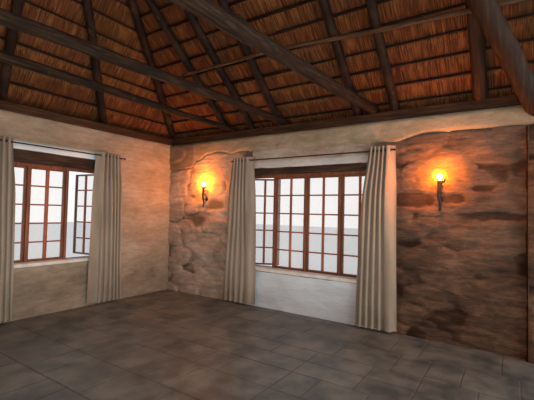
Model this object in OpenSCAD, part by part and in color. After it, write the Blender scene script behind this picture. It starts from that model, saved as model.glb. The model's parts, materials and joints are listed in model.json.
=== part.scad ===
// Hipped end of a thatched stone hut, open where the rest of the building would run on.
// X runs along the long walls, from the hipped end to the open end. Z is up from the ground.

/* [Room] */
// Length of the room from the end wall to the open end, inside
room_l = 5980; // [5900:10:6060]
// Width of the room between the long walls, inside
room_w = 6600; // [6500:20:6700]
// Thickness of the stone walls
wall_t = 380; // [360:5:400]
// Height of the built floor above the ground
floor_h = 100; // [60:5:140]
// Height of the wall plates' underside above the floor
wall_h = 2750; // [2700:5:2800]
// Height of the plastered band at the head of the walls
band_h = 250; // [225:5:270]
// Length of the pier that ends each long wall
pier_l = 350; // [250:10:380]
// How far each pier stands out from its wall
pier_out = 130; // [110:5:150]

/* [Roof] */
// Pitch of the long slopes
side_pitch = 40; // [39:0.5:41]
// Distance from the end wall to the end of the ridge, inside
hip_run = 1980; // [1930:10:2030]
// Height of the rafters' centre lines above the plates' underside, over the wall's face
rafter_lift = 205; // [200:1:212]
// How far the thatch reaches out past the walls
eave = 400; // [360:5:450]
// How far the roof runs out past the open end
verge = 150; // [100:5:200]
// Thickness of the thatch
thatch_t = 200; // [160:5:240]
// Diameter of the rafters
rafter_d = 110; // [100:1:114]
// Diameter of the battens
batten_d = 32; // [26:1:36]
// Distance between battens along the slope
batten_pitch = 260; // [240:5:300]
// Width of the wall plates
plate_w = 80; // [70:1:90]
// Height of the wall plates
plate_h = 120; // [115:1:125]
// Thickness of the ridge capping
cap_t = 60; // [40:5:80]
// Length of each leg of the ridge capping, down the slope
cap_leg = 420; // [360:10:480]
// Diameter of the ridge pole
ridge_pole_d = 120; // [100:1:130]
// Diameter of the purlins
purlin_d = 55; // [45:1:60]
// Height of the purlins above the wall plates' underside, nearest the end wall
purlin_up = 880; // [840:5:910]
// How much lower the purlins are at the open end
purlin_fall = 100; // [0:5:130]
// Diameter of the principal rafters
principal_d = 150; // [130:1:160]
// Diameter of the diagonal braces
brace_d = 200; // [180:5:210]

/* [Tie beams] */
// Diameter of the tie beam nearest the end wall
tie_1_d = 100; // [85:1:105]
// Diameter of the middle tie beam
tie_2_d = 120; // [95:1:124]
// Diameter of the tie beam farthest from the end wall
tie_3_d = 140; // [110:1:150]
// How far the middle of the first tie beam rises above its ends
tie_1_bow = 25; // [0:1:40]
// How far the middle of the second tie beam rises above its ends
tie_2_bow = 25; // [0:1:40]
// How far the middle of the third tie beam rises above its ends
tie_3_bow = 35; // [0:1:60]
// How far the second tie beam's left end lies nearer the end wall than its right end
tie_2_skew = 450; // [300:10:500]
// How far the third tie beam's left end lies nearer the end wall than its right end
tie_3_skew = 620; // [400:10:700]

/* [Windows] */
// Distance from the end wall to the window in each long wall
side_win_x = 1683; // [1660:1:1710]
// Width of the window in each long wall
side_win_w = 2315; // [2280:5:2340]
// Height of the side windows
side_win_h = 1550; // [1500:5:1570]
// Height of the side windows' underside above the floor
side_win_z = 570; // [540:5:600]
// Distance from the room's middle line to each window in the end wall
end_win_mid = 282; // [265:1:300]
// Width of the windows in the end wall
end_win_w = 1676; // [1640:1:1690]
// Height of the end windows
end_win_h = 1430; // [1390:5:1450]
// Height of the end windows' underside above the floor
end_win_z = 690; // [660:5:710]
// Distance of the window frames behind the wall's inner face
frame_in = 150; // [120:5:180]
// Depth of the window frames
frame_t = 70; // [60:1:80]
// Width of the frames' members
frame_b = 48; // [44:1:54]
// Width of the posts between sashes
mullion_b = 36; // [30:1:44]
// Width of a sash's members
sash_b = 26; // [22:1:34]
// Thickness of the sashes
sash_t = 36; // [30:1:42]
// Thickness of the glass
glass_t = 4; // [3:0.5:6]
// Angle of the open casements in the long walls
side_open = 28; // [20:1:45]
// Angle of the open casements in the end wall
end_open = 84; // [60:1:88]
// Height of the side windows' lintels
side_lintel_h = 85; // [70:1:100]
// Height of the end windows' lintels
end_lintel_h = 150; // [130:1:165]
// How far each lintel runs into the wall past the opening
lintel_bearing = 150; // [120:5:200]
// Thickness of the window sills
sill_t = 45; // [38:1:48]
// How far the sills stand out from the wall
sill_out = 25; // [10:1:40]

/* [Curtains] */
// Diameter of the curtain rods
rod_d = 18; // [14:1:22]
// Distance of the rods from the wall
rod_off = 97; // [90:1:105]
// Height of the rods above the windows' heads
rod_up = 222; // [205:1:230]
// How far a side window's rod passes the window towards the end wall
side_rod_near = 105; // [85:5:130]
// How far the other rod ends pass their windows
rod_over = 237; // [215:1:245]
// Width of a gathered curtain
curtain_w = 450; // [380:5:480]
// Depth of a gathered curtain's folds
fold_d = 70; // [50:1:76]
// Number of folds in a curtain
folds = 7; // [5:1:9]
// Thickness of the gathered cloth
cloth_t = 14; // [10:1:18]
// Gap between the curtains and the floor
curtain_gap = 35; // [20:5:100]

/* [Lamps] */
// Height of the lamps' lower ends above the floor
lamp_z = 1570; // [1520:5:1620]
// Distance from the end wall to the first lamp
lamp_near = 935; // [900:5:970]
// Distance from the end wall to the second lamp
lamp_far = 4765; // [4720:5:4810]
// Distance of a lamp's stem from the wall
lamp_off = 90; // [80:1:100]
// Height of a lamp's stem
lamp_h = 320; // [300:5:340]
// Diameter of the lamp bulbs
bulb_d = 66; // [56:1:72]

/* [Hidden] */

// Gap that keeps neighbouring pieces from overlapping
seat = 0.3;
// Reach of the cutting shapes past what they cut
past = 50;

// The end wall's inner face, the open end and the walls' faces, with the origin under the middle
total_l = eave + wall_t + room_l + verge;
x_in = eave + wall_t - total_l / 2;
x_open = x_in + room_l;
x_out = x_in - wall_t;
y_in = room_w / 2;
y_out = y_in + wall_t;
plate_z = floor_h + wall_h;
plate_top = plate_z + plate_h;
rafter_z = plate_z + rafter_lift;
rafter_r = rafter_d / 2;

// Rise of the slopes, and the steeper pitch that brings the end slope to the same ridge
ridge_rise = y_in * tan(side_pitch);
end_pitch = atan(ridge_rise / hip_run);
ridge_z = rafter_z + ridge_rise;
hip_x = x_in + hip_run;
// Turn of the hip lines in plan, away from the ridge's line
hip_turn = atan2(y_in, hip_run);
batten_off = rafter_r + batten_d / 2 + seat;
thatch_off = rafter_r + batten_d + 2 * seat;
// The rafters and the battens stop short of the thatch's edges by this much
rafter_short = 150;
batten_short = 20;

// Places along the long walls, from the end wall
jack_x = [1340, 1860];
common_x = [2430, 3700, 4210];
principal_x = 5180;
last_x = room_l - rafter_r - batten_short;
tie_x = [1500, 2545, 3920];
tie_d = [tie_1_d, tie_2_d, tie_3_d];
tie_bow = [tie_1_bow, tie_2_bow, tie_3_bow];
tie_skew = [0, tie_2_skew, tie_3_skew];
// Places of the end slope's rafter feet, from the middle of the end wall
fan_y = [420, 1830];
// Distance below the end of the ridge at which each of them stops, along the slope
fan_stop = [190, 380];

// Straight pole between two points
module pole(a, b, d) {
  v = b - a;
  translate(a)
    rotate([0, acos(v[2] / norm(v)), atan2(v[1], v[0])])
      cylinder(h = norm(v), d = d, $fn = 48);
}

// The same on both long sides
module both_sides() {
  children();
  mirror([0, 1, 0]) children();
}

// Cross-section in Y and Z, run along X between two places
module along_x(x0, x1) {
  translate([x0, 0, 0])
    rotate([90, 0, 90]) linear_extrude(x1 - x0) children();
}

// Cross-section in X and Z, run along Y between two places
module along_y(y0, y1) {
  translate([0, y1, 0])
    rotate([90, 0, 0]) linear_extrude(y1 - y0) children();
}

// Height of each slope's plane set off by off, at a distance u inward from the wall's face
function side_height(u, off) = rafter_z + u * tan(side_pitch) + off / cos(side_pitch);
function end_height(u, off) = rafter_z + u * tan(end_pitch) + off / cos(end_pitch);

// Where the end slope's steep part meets its flatter eave, and where it reaches the ridge
function bell(off) = off * (1 / cos(side_pitch) - 1 / cos(end_pitch))
  / (tan(end_pitch) - tan(side_pitch));
function apex(off) = hip_run + off * (1 / cos(side_pitch) - 1 / cos(end_pitch)) / tan(end_pitch);

// Cross-section below the long slopes set off by off, from height z0 and out to reach
module side_section(off, z0, reach) {
  polygon([[-y_in - reach, z0], [y_in + reach, z0],
    [y_in + reach, side_height(-reach, off)],
    [0, side_height(y_in, off)],
    [-y_in - reach, side_height(-reach, off)]]);
}

// Cross-section below the end slope and its eave set off by off
module end_section(off, z0, reach) {
  far = room_l + verge + past;
  polygon([[x_in - reach, z0], [x_in + far, z0], [x_in + far, end_height(far, off)],
    [x_in + bell(off), end_height(bell(off), off)],
    [x_in - reach, side_height(-reach, off)]]);
}

// Block below all slopes set off by off
module under_roof(off, z0, reach) {
  intersection() {
    along_x(x_in - reach, x_open + verge) side_section(off, z0, reach);
    along_y(-y_in - reach, y_in + reach) end_section(off, z0, reach);
  }
}

// Plan of what lies on the end slope's side of the hips, for surfaces set off by off
module end_plan(off) {
  reach = wall_t + eave + past;
  polygon([[x_in + apex(off), 0],
    [x_in + bell(off), y_in - bell(off)], [x_in - reach, y_in + reach],
    [x_in - reach, -y_in - reach], [x_in + bell(off), bell(off) - y_in]]);
}

module end_region(off, shift) {
  translate([shift, 0, 0])
    linear_extrude(2 * ridge_z) end_plan(off);
}

// Wall heads are splayed to the rafters' undersides
module wall_head(z0) {
  under_roof(-rafter_r - seat, z0, wall_t);
}

module wall_mass(x0, y0, x1, y1, z0, z1) {
  translate([x0, y0, z0]) cube([x1 - x0, y1 - y0, z1 - z0]);
}

// Places of the windows, with X along the wall, Y outward from its inner face and Z up
module at_side_window() {
  translate([x_in + side_win_x, y_in, floor_h + side_win_z]) children();
}

module at_end_window() {
  translate([x_in, end_win_mid + end_win_w, floor_h + end_win_z])
    rotate([0, 0, 90]) mirror([1, 0, 0]) children();
}

// Clear width of each sash's place in a window of width w with n sashes
function bay_w(w, n) = (w - 2 * frame_b - (n - 1) * mullion_b) / n;
function bay_x(w, n, i) = frame_b + i * (bay_w(w, n) + mullion_b);
side_n = 4;
end_n = 3;

module window_hole(w, h) {
  translate([0, -past, 0]) cube([w, wall_t + 2 * past, h]);
}

module lintel_hole(w, h, lintel_h) {
  translate([-lintel_bearing, -past, h])
    cube([w + 2 * lintel_bearing, wall_t + 2 * past, lintel_h]);
}

module lintel(w, h, lintel_h) {
  translate([seat - lintel_bearing, 0, h + seat])
    cube([w + 2 * lintel_bearing - 2 * seat, wall_t, lintel_h - 2 * seat]);
}

module window_frame(w, h, n) {
  translate([0, frame_in, 0])
    difference() {
      translate([seat, 0, seat])
        cube([w - 2 * seat, frame_t, h - 2 * seat]);
      for (i = [0 : n - 1])
        translate([bay_x(w, n, i), -past, frame_b])
          cube([bay_w(w, n), frame_t + 2 * past, h - 2 * frame_b]);
    }
}

// One sash with its hinge edge at the origin and its outer face on Y zero
module sash(w, h) {
  translate([seat, -sash_t, seat])
    difference() {
      cube([w - 2 * seat, sash_t, h - 2 * seat]);
      translate([sash_b, -past, sash_b])
        cube([w - 2 * seat - 2 * sash_b, sash_t + 2 * past, h - 2 * seat - 2 * sash_b]);
    }
}

module pane(w, h) {
  inset = sash_b + 2 * seat;
  translate([inset, -sash_t / 2 - glass_t / 2, inset])
    cube([w - 2 * inset, glass_t, h - 2 * inset]);
}

// Puts a sash or its pane in its place in the frame, turned on its hinge edge
module in_bay(w, n, i, angle) {
  translate([bay_x(w, n, i), frame_in + frame_t, frame_b])
    rotate([0, 0, angle]) children();
}

module closed_sashes(w, h, n) {
  for (i = [1 : n - 1])
    in_bay(w, n, i, 0) sash(bay_w(w, n), h - 2 * frame_b);
}

module open_sash(w, h, n, angle) {
  in_bay(w, n, 0, angle) sash(bay_w(w, n), h - 2 * frame_b);
}

module panes(w, h, n, angle) {
  for (i = [0 : n - 1])
    in_bay(w, n, i, i == 0 ? angle : 0) pane(bay_w(w, n), h - 2 * frame_b);
}

// Inner sill board and weathered outer sill
module sills(w) {
  translate([seat, -sill_out, seat])
    cube([w - 2 * seat, sill_out + frame_in - seat, sill_t - seat]);
  back = frame_in + frame_t + seat;
  front = wall_t + sill_out;
  translate([seat, 0, 0])
    rotate([90, 0, 90])
      linear_extrude(w - 2 * seat)
        polygon([[back, seat], [front, seat], [front, sill_t / 2], [back, sill_t]]);
}

// Rod with ball ends and the two brackets that hold it to the wall
module rod(w, h, near) {
  bracket_t = 10;
  z = h + rod_up;
  translate([0, -rod_off, z]) {
    pole([-near, 0, 0], [w + rod_over, 0, 0], rod_d);
    for (x = [-near, w + rod_over])
      translate([x, 0, 0]) sphere(d = 1.7 * rod_d, $fn = 24);
  }
  for (x = [-near + 1.5 * rod_d, w + rod_over - 1.5 * rod_d])
    translate([x - bracket_t / 2, -rod_off, z - bracket_t / 2])
      cube([bracket_t, rod_off - seat, bracket_t]);
}

// Wavy outline of a gathered cloth seen from above
module gathered(w) {
  steps = 8 * folds;
  wave = (fold_d - cloth_t) / 2;
  front = [for (i = [0 : steps])
    [w * i / steps, wave * sin(360 * folds * i / steps) - cloth_t / 2]];
  back = [for (i = [steps : -1 : 0])
    [w * i / steps, wave * sin(360 * folds * i / steps) + cloth_t / 2]];
  polygon(concat(front, back));
}

// Pair of curtains hanging below a window's rod
module curtains(w, h, z, near) {
  drop = z + h + rod_up - rod_d / 2 - seat - curtain_gap;
  inset = 1.5 * rod_d;
  for (x = [inset - near, w + rod_over - inset - curtain_w])
    translate([x, -rod_off, curtain_gap - z])
      linear_extrude(drop) gathered(curtain_w);
}

// Height of a lamp's cup, and of its bulb's centre above the stem's lower end
cup_h = 40;
bulb_up = 0.72 * bulb_d;
bulb_z = lamp_h + cup_h + seat + bulb_up;

// Stem, cup and curved prong of a wall lamp, with its arm and wall plate
module lamp_bracket() {
  wall_plate_t = 8;
  arm_z = 0.45 * lamp_h;
  prong_r = bulb_d / 2 + 15;
  translate([0, -seat, arm_z])
    rotate([90, 0, 0]) cylinder(h = wall_plate_t, d = 60, $fn = 40);
  arm_d = 14;
  foot_d = 30;
  stem_d = 48;
  cup_d = 62;
  pole([0, -wall_plate_t, arm_z], [0, -lamp_off, arm_z], arm_d);
  translate([0, -lamp_off, 0]) {
    cylinder(h = lamp_h, d1 = foot_d, d2 = stem_d, $fn = 32);
    translate([0, 0, lamp_h]) cylinder(h = cup_h, d1 = stem_d, d2 = cup_d, $fn = 32);
    translate([0, 0, bulb_z])
      rotate([90, 0, 0])
        rotate([0, 0, -70])
          rotate_extrude(angle = 85, $fn = 40)
            translate([prong_r, 0]) circle(d = arm_d, $fn = 16);
  }
}

module lamp_bulb() {
  translate([0, -lamp_off, lamp_h + cup_h + seat])
    rotate_extrude($fn = 40)
      intersection() {
        union() {
          translate([0, bulb_up]) circle(d = bulb_d, $fn = 40);
          square([0.2 * bulb_d, bulb_up]);
        }
        square([bulb_d, 2 * bulb_d]);
      }
}

module at_lamps() {
  for (x = [lamp_near, lamp_far])
    translate([x_in + x, y_in, floor_h + lamp_z]) children();
}

module floor() {
  color("dimgray")
    wall_mass(x_in + seat, -y_in + seat, x_open, y_in - seat, 0, floor_h);
}

module end_wall() {
  color("tan")
    difference() {
      intersection() {
        wall_mass(x_out, -y_in + seat, x_in, y_in - seat, 0, plate_z - band_h);
        wall_head(0);
      }
      both_sides() at_end_window() {
        window_hole(end_win_w, end_win_h);
        lintel_hole(end_win_w, end_win_h, end_lintel_h);
      }
    }
}

module long_wall() {
  difference() {
    intersection() {
      wall_mass(x_out, y_in, x_open, y_out, 0, plate_z - band_h);
      wall_head(0);
    }
    at_side_window() {
      window_hole(side_win_w, side_win_h);
      lintel_hole(side_win_w, side_win_h, side_lintel_h);
    }
  }
}

module right_wall() {
  color("peru") long_wall();
}

module left_wall() {
  color("peru") mirror([0, 1, 0]) long_wall();
}

module pier_mass(grow) {
  wall_mass(x_open - pier_l - grow, y_in - pier_out - grow, x_open, y_in - seat,
    floor_h, plate_z - band_h + grow);
}

module end_piers() {
  color("sienna") both_sides() pier_mass(0);
}

module end_band() {
  color("antiquewhite")
    intersection() {
      wall_mass(x_out, -y_in + seat, x_in, y_in - seat, plate_z - band_h, plate_z);
      wall_head(0);
    }
}

module long_band() {
  intersection() {
    wall_mass(x_out, y_in, x_open, y_out, plate_z - band_h, plate_z);
    wall_head(0);
  }
}

module right_band() {
  color("antiquewhite") long_band();
}

module left_band() {
  color("antiquewhite") mirror([0, 1, 0]) long_band();
}

module end_plate_mass(grow) {
  wall_mass(x_in - plate_w - grow, -y_in + seat, x_in + grow, y_in - seat,
    plate_z, plate_top + grow);
}

module side_plate_mass(grow) {
  wall_mass(x_in - plate_w - grow, y_in - grow, x_open, y_in + plate_w + grow,
    plate_z, plate_top + grow);
}

module end_plate() {
  color("saddlebrown") end_plate_mass(0);
}

module side_plates() {
  color("saddlebrown") both_sides() side_plate_mass(0);
}

// Room for the wall plates, cut out of what sits on them
module plate_notch() {
  end_plate_mass(seat);
  both_sides() side_plate_mass(seat);
}

// Point along a tie beam from left to right, with its skew and bow, and its tapering radius there
function tie_point(i, t) = [(t - 1) * tie_skew[i], (2 * t - 1) * (y_in + plate_w),
  plate_top + seat + tie_radius(i, 0) + tie_bow[i] * sin(180 * t) * (1 - 0.3 * sin(720 * t))];
function tie_radius(i, t) = tie_d[i] / 2 * (0.78 + 0.22 * sin(180 * t));

// Natural log swept along its bowed line, with its ends cut to the slopes
module tie_beam(i) {
  rings = 20;
  sides = 12;
  points = [for (j = [0 : rings], k = [0 : sides - 1])
    tie_point(i, j / rings)
      + tie_radius(i, j / rings) * [cos(360 * k / sides), 0, sin(360 * k / sides)]];
  skin = [for (j = [0 : rings - 1], k = [0 : sides - 1])
    [j * sides + k, j * sides + (k + 1) % sides,
      (j + 1) * sides + (k + 1) % sides, (j + 1) * sides + k]];
  ends = [[for (k = [sides - 1 : -1 : 0]) k], [for (k = [0 : sides - 1]) rings * sides + k]];
  color("rosybrown")
    intersection() {
      translate([x_in + tie_x[i], 0, 0]) polyhedron(points, concat(skin, ends), convexity = 4);
      along_x(x_in, x_open) side_section(rafter_r - seat, 0, wall_t);
    }
}

module tie_beam_1() {
  tie_beam(0);
}

module tie_beam_2() {
  tie_beam(1);
}

module tie_beam_3() {
  tie_beam(2);
}

// The ridge pole lies in the angle below the rafters
ridge_pole_z = ridge_z - (rafter_r + ridge_pole_d / 2 + seat) / cos(side_pitch);

module ridge_pole_mass(grow) {
  pole([hip_x + 20, 0, ridge_pole_z], [x_open, 0, ridge_pole_z], ridge_pole_d + 2 * grow);
}

module ridge_pole() {
  color("saddlebrown") ridge_pole_mass(0);
}

// Keeps what lies on the right of the room's middle line
module right_half() {
  translate([-2 * room_l, seat / 2, 0]) cube([4 * room_l, room_w, 2 * ridge_z]);
}

// Pole up a long slope from out past the wall to the ridge, set off by off
module slope_pole(x, u0, off, d) {
  pole([x_in + x, y_in - u0, side_height(u0, off)],
    [x_in + x, -d, side_height(y_in + d, off)], d);
}

eave_u = -(wall_t + eave - rafter_short);

module side_rafters() {
  intersection() {
    difference() {
      for (x = concat(common_x, [last_x])) slope_pole(x, eave_u, 0, rafter_d);
      plate_notch();
    }
    right_half();
  }
  difference() {
    for (x = jack_x) slope_pole(x, eave_u, 0, rafter_d);
    plate_notch();
    end_region(0, (rafter_r + seat) / sin(hip_turn));
  }
}

module right_rafters() {
  color("maroon") side_rafters();
}

module left_rafters() {
  color("maroon") mirror([0, 1, 0]) side_rafters();
}

// Apex where the hips meet at the end of the ridge
apex_point = [hip_x, 0, ridge_z];

// Pole from a foot on the end wall's plate towards the apex, stopping short of it
module to_apex(foot, stop) {
  v = apex_point - foot;
  length = norm(v);
  pole(foot - v * (past / length), apex_point - v * (stop / length), rafter_d);
}

module end_rafters() {
  color("maroon")
    both_sides()
      intersection() {
        difference() {
          for (i = [0 : len(fan_y) - 1])
            to_apex([x_in, fan_y[i], rafter_z], fan_stop[i]);
          plate_notch();
        }
        right_half();
      }
}

module hip_rafters() {
  color("maroon")
    both_sides()
      intersection() {
        difference() {
          to_apex([x_in, y_in, rafter_z], -rafter_r);
          plate_notch();
          translate([hip_x + 10, -room_w, 0]) cube([room_l, 2 * room_w, 2 * ridge_z]);
        }
        right_half();
      }
}

// Short poles on the wall head carry the flatter eave, and one more does at each corner
sprocket_gap = 700;
// Distance of their upper ends behind the wall's inner face
sprocket_back = 160;
sprocket_y = [for (y = fan_y, step = [rafter_d + 10, sprocket_gap]) y + step];

module sprocket(y) {
  pole([x_in - sprocket_back, y, side_height(-sprocket_back, 0)],
    [x_in + eave_u, y, side_height(eave_u, 0)], rafter_d);
}

module eave_sprockets() {
  color("maroon") {
    sprocket(0);
    both_sides() for (y = sprocket_y) sprocket(y);
    both_sides() {
      u0 = -plate_w - rafter_d;
      pole([x_in + u0, y_in - u0, side_height(u0, 0)],
        [x_in + eave_u, y_in - eave_u, side_height(eave_u, 0)], rafter_d);
    }
  }
}

// The principals' backs are level with the rafters', so their lines lie lower
principal_off = -(principal_d - rafter_d) / 2;
brace_off = principal_off - principal_d / 2 - brace_d / 2 - seat;
// Where a brace's line meets the wall's face, and how far it leans towards the end wall
brace_x = 5700;
brace_lean = 1450;

module principal_mass(grow) {
  slope_pole(principal_x, -plate_w, principal_off, principal_d + 2 * grow);
}

module principal_rafters() {
  color("sienna")
    both_sides()
      intersection() {
        difference() {
          principal_mass(0);
          plate_notch();
          ridge_pole_mass(seat);
        }
        right_half();
      }
}

function brace_point(u) = [x_in + brace_x - brace_lean * u / y_in, y_in - u, side_height(u, brace_off)];

module brace_mass(grow) {
  pole(brace_point(-brace_d), brace_point(y_in + brace_d), brace_d + 2 * grow);
}

module diagonal_braces() {
  color("saddlebrown")
    both_sides()
      intersection() {
        difference() {
          brace_mass(0);
          ridge_pole_mass(seat);
          pier_mass(seat);
          translate([x_in, y_in - seat, 0]) cube([2 * room_l, room_w, 2 * ridge_z]);
        }
        right_half();
      }
}

// A purlin on each side, notched over the principal rafter and the brace
module purlins() {
  off = -(rafter_r + purlin_d / 2 + seat);
  ends = [for (p = [[jack_x[0] - rafter_d, purlin_up], [room_l, purlin_up - purlin_fall]])
    [x_in + p[0], y_in - (plate_z + p[1] - side_height(0, off)) / tan(side_pitch), plate_z + p[1]]];
  color("burlywood")
    both_sides()
      difference() {
        pole(ends[0], ends[1], purlin_d);
        principal_mass(seat);
        brace_mass(seat);
      }
}

// Level battens, spaced evenly up each slope, from a first row near the wall's face
side_step = batten_pitch * cos(side_pitch);
end_step = batten_pitch * cos(end_pitch);
side_first = 135;
end_first = 30;
top_gap = 60;

// Rows of a slope, as distances inward from the wall's face
function rows_up(first, step, limit) = [for (u = [first : step : limit - top_gap]) u];
function rows_down(first) = [for (u = [first - side_step : -side_step : batten_d - wall_t - eave]) u];

module side_battens() {
  difference() {
    for (u = concat(rows_down(side_first), rows_up(side_first, side_step, y_in))) {
      h = side_height(u, batten_off);
      pole([x_in - wall_t - eave, y_in - u, h],
        [x_open + verge - batten_short, y_in - u, h], batten_d);
    }
    end_region(batten_off, seat);
  }
}

module right_battens() {
  color("black") side_battens();
}

module left_battens() {
  color("black") mirror([0, 1, 0]) side_battens();
}

module end_battens() {
  color("black")
    intersection() {
      for (u = concat(rows_down(end_first), rows_up(end_first, end_step, hip_run))) {
        h = u < bell(batten_off) ? side_height(u, batten_off) : end_height(u, batten_off);
        pole([x_in + u, -y_out - eave, h], [x_in + u, y_out + eave, h], batten_d);
      }
      end_region(batten_off, -seat);
    }
}

top_off = thatch_off + thatch_t;
mid_off = thatch_off + thatch_t / 2;

module thatch_shell() {
  difference() {
    under_roof(top_off, floor_h + wall_h / 2, wall_t + eave);
    under_roof(thatch_off, 0, wall_t + eave + past);
  }
}

module side_thatch() {
  intersection() {
    difference() {
      thatch_shell();
      end_region(mid_off, seat);
    }
    right_half();
  }
}

module end_thatch() {
  color("goldenrod")
    intersection() {
      thatch_shell();
      end_region(mid_off, -seat);
    }
}

module right_thatch() {
  color("darkgoldenrod") side_thatch();
}

module left_thatch() {
  color("darkgoldenrod") mirror([0, 1, 0]) side_thatch();
}

module ridge_cap() {
  leg = cap_leg * cos(side_pitch);
  inner = top_off + seat;
  color("gray")
    along_x(x_in + apex(top_off) - 120, x_open + verge)
      polygon([[0, side_height(y_in, inner)], [leg, side_height(y_in - leg, inner)],
        [leg + cap_t * sin(side_pitch), side_height(y_in - leg, inner) + cap_t * cos(side_pitch)],
        [0, side_height(y_in, inner + cap_t)],
        [-leg - cap_t * sin(side_pitch), side_height(y_in - leg, inner) + cap_t * cos(side_pitch)],
        [-leg, side_height(y_in - leg, inner)]]);
}

module right_window_frame() {
  color("firebrick") at_side_window() window_frame(side_win_w, side_win_h, side_n);
}

module left_window_frame() {
  color("firebrick") mirror([0, 1, 0]) at_side_window() window_frame(side_win_w, side_win_h, side_n);
}

module end_window_frames() {
  color("firebrick") both_sides() at_end_window() window_frame(end_win_w, end_win_h, end_n);
}

module right_sashes() {
  color("brown") at_side_window() closed_sashes(side_win_w, side_win_h, side_n);
}

module left_sashes() {
  color("brown") mirror([0, 1, 0]) at_side_window() closed_sashes(side_win_w, side_win_h, side_n);
}

module end_sashes() {
  color("brown") both_sides() at_end_window() closed_sashes(end_win_w, end_win_h, end_n);
}

module open_sashes() {
  color("brown")
    both_sides() {
      at_side_window() open_sash(side_win_w, side_win_h, side_n, side_open);
      at_end_window() open_sash(end_win_w, end_win_h, end_n, end_open);
    }
}

module window_glass() {
  color("lightblue")
    both_sides() {
      at_side_window() panes(side_win_w, side_win_h, side_n, side_open);
      at_end_window() panes(end_win_w, end_win_h, end_n, end_open);
    }
}

module lintels() {
  color("black")
    both_sides() {
      at_side_window() lintel(side_win_w, side_win_h, side_lintel_h);
      at_end_window() lintel(end_win_w, end_win_h, end_lintel_h);
    }
}

module window_sills() {
  color("white")
    both_sides() {
      at_side_window() sills(side_win_w);
      at_end_window() sills(end_win_w);
    }
}

module curtain_rods() {
  color("black")
    both_sides() {
      at_side_window() rod(side_win_w, side_win_h, side_rod_near);
      at_end_window() rod(end_win_w, end_win_h, rod_over);
    }
}

module side_curtains() {
  at_side_window() curtains(side_win_w, side_win_h, side_win_z, side_rod_near);
}

module right_curtains() {
  color("tan") side_curtains();
}

module left_curtains() {
  color("tan") mirror([0, 1, 0]) side_curtains();
}

module end_curtains() {
  color("tan") both_sides() at_end_window() curtains(end_win_w, end_win_h, end_win_z, rod_over);
}

module lamp_brackets() {
  color("dimgray") both_sides() at_lamps() lamp_bracket();
}

module lamp_bulbs() {
  color("orange") both_sides() at_lamps() lamp_bulb();
}

floor();
end_wall();
right_wall();
left_wall();
end_piers();
end_band();
right_band();
left_band();
end_plate();
side_plates();
tie_beam_1();
tie_beam_2();
tie_beam_3();
ridge_pole();
end_rafters();
hip_rafters();
right_rafters();
left_rafters();
eave_sprockets();
purlins();
principal_rafters();
diagonal_braces();
end_battens();
right_battens();
left_battens();
end_thatch();
right_thatch();
left_thatch();
ridge_cap();
right_window_frame();
left_window_frame();
end_window_frames();
right_sashes();
left_sashes();
end_sashes();
open_sashes();
window_glass();
lintels();
window_sills();
curtain_rods();
right_curtains();
left_curtains();
end_curtains();
lamp_brackets();
lamp_bulbs();
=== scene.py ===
"""Looks of the hipped end of a thatched stone hut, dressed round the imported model."""

import json
import math
from functools import partial

import bpy
import numpy as np
from mathutils import Matrix, Vector


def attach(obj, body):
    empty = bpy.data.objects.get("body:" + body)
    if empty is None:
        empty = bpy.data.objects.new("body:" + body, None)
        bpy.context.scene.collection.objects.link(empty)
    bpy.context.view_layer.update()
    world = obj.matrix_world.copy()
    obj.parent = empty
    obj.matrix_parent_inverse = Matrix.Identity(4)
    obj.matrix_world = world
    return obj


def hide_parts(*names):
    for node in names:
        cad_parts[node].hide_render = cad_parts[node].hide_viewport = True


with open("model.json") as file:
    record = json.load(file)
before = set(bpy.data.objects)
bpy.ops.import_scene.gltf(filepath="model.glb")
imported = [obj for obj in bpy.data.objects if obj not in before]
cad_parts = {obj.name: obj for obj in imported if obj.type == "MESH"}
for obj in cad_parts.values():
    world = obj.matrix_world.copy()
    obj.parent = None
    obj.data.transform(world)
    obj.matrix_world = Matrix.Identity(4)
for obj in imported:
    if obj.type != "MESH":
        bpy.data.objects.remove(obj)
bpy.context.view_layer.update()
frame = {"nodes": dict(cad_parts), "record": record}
nodes = frame["nodes"]
scene = bpy.context.scene

# Sizes, angles and counts that repeat the part's source, with lengths in metres
X_IN, X_OPEN, X_OUT = -2.675, 3.305, -3.055
Y_IN, Y_OUT = 3.3, 3.68
FLOOR_Z, PLATE_Z, PLATE_TOP = 0.1, 2.85, 2.97
BAND_H, WALL_T, PIER_L, PIER_OUT = 0.25, 0.38, 0.35, 0.13
EAVE, VERGE, THATCH_T, HIP_RUN = 0.4, 0.15, 0.2, 1.98
SIDE_ANGLE = math.radians(40)
RAFTER_Z, RAFTER_D = 3.055, 0.11
PRINCIPAL_D, BRACE_D, PURLIN_D, RIDGE_POLE_D = 0.15, 0.2, 0.055, 0.12
BATTEN_D, BATTEN_PITCH = 0.032, 0.26
SIDE_WIN = dict(a=1.683, w=2.315, z=0.57, h=1.55, n=4, lintel=0.085)
END_WIN = dict(a=1.342, w=1.676, z=0.69, h=1.43, n=3, lintel=0.15)
LINTEL_BEARING = 0.15
FRAME_IN, FRAME_T, FRAME_B, MULLION_B = 0.15, 0.07, 0.048, 0.036
SASH_B, SASH_T = 0.026, 0.036
SIDE_OPEN, END_OPEN = math.radians(28), math.radians(84)
ROD_OFF, ROD_Z = 0.097, 2.342
LAMP_X, LAMP_Z, LAMP_H, LAMP_OFF = (0.935, 4.765), 1.57, 0.32, 0.09

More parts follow.
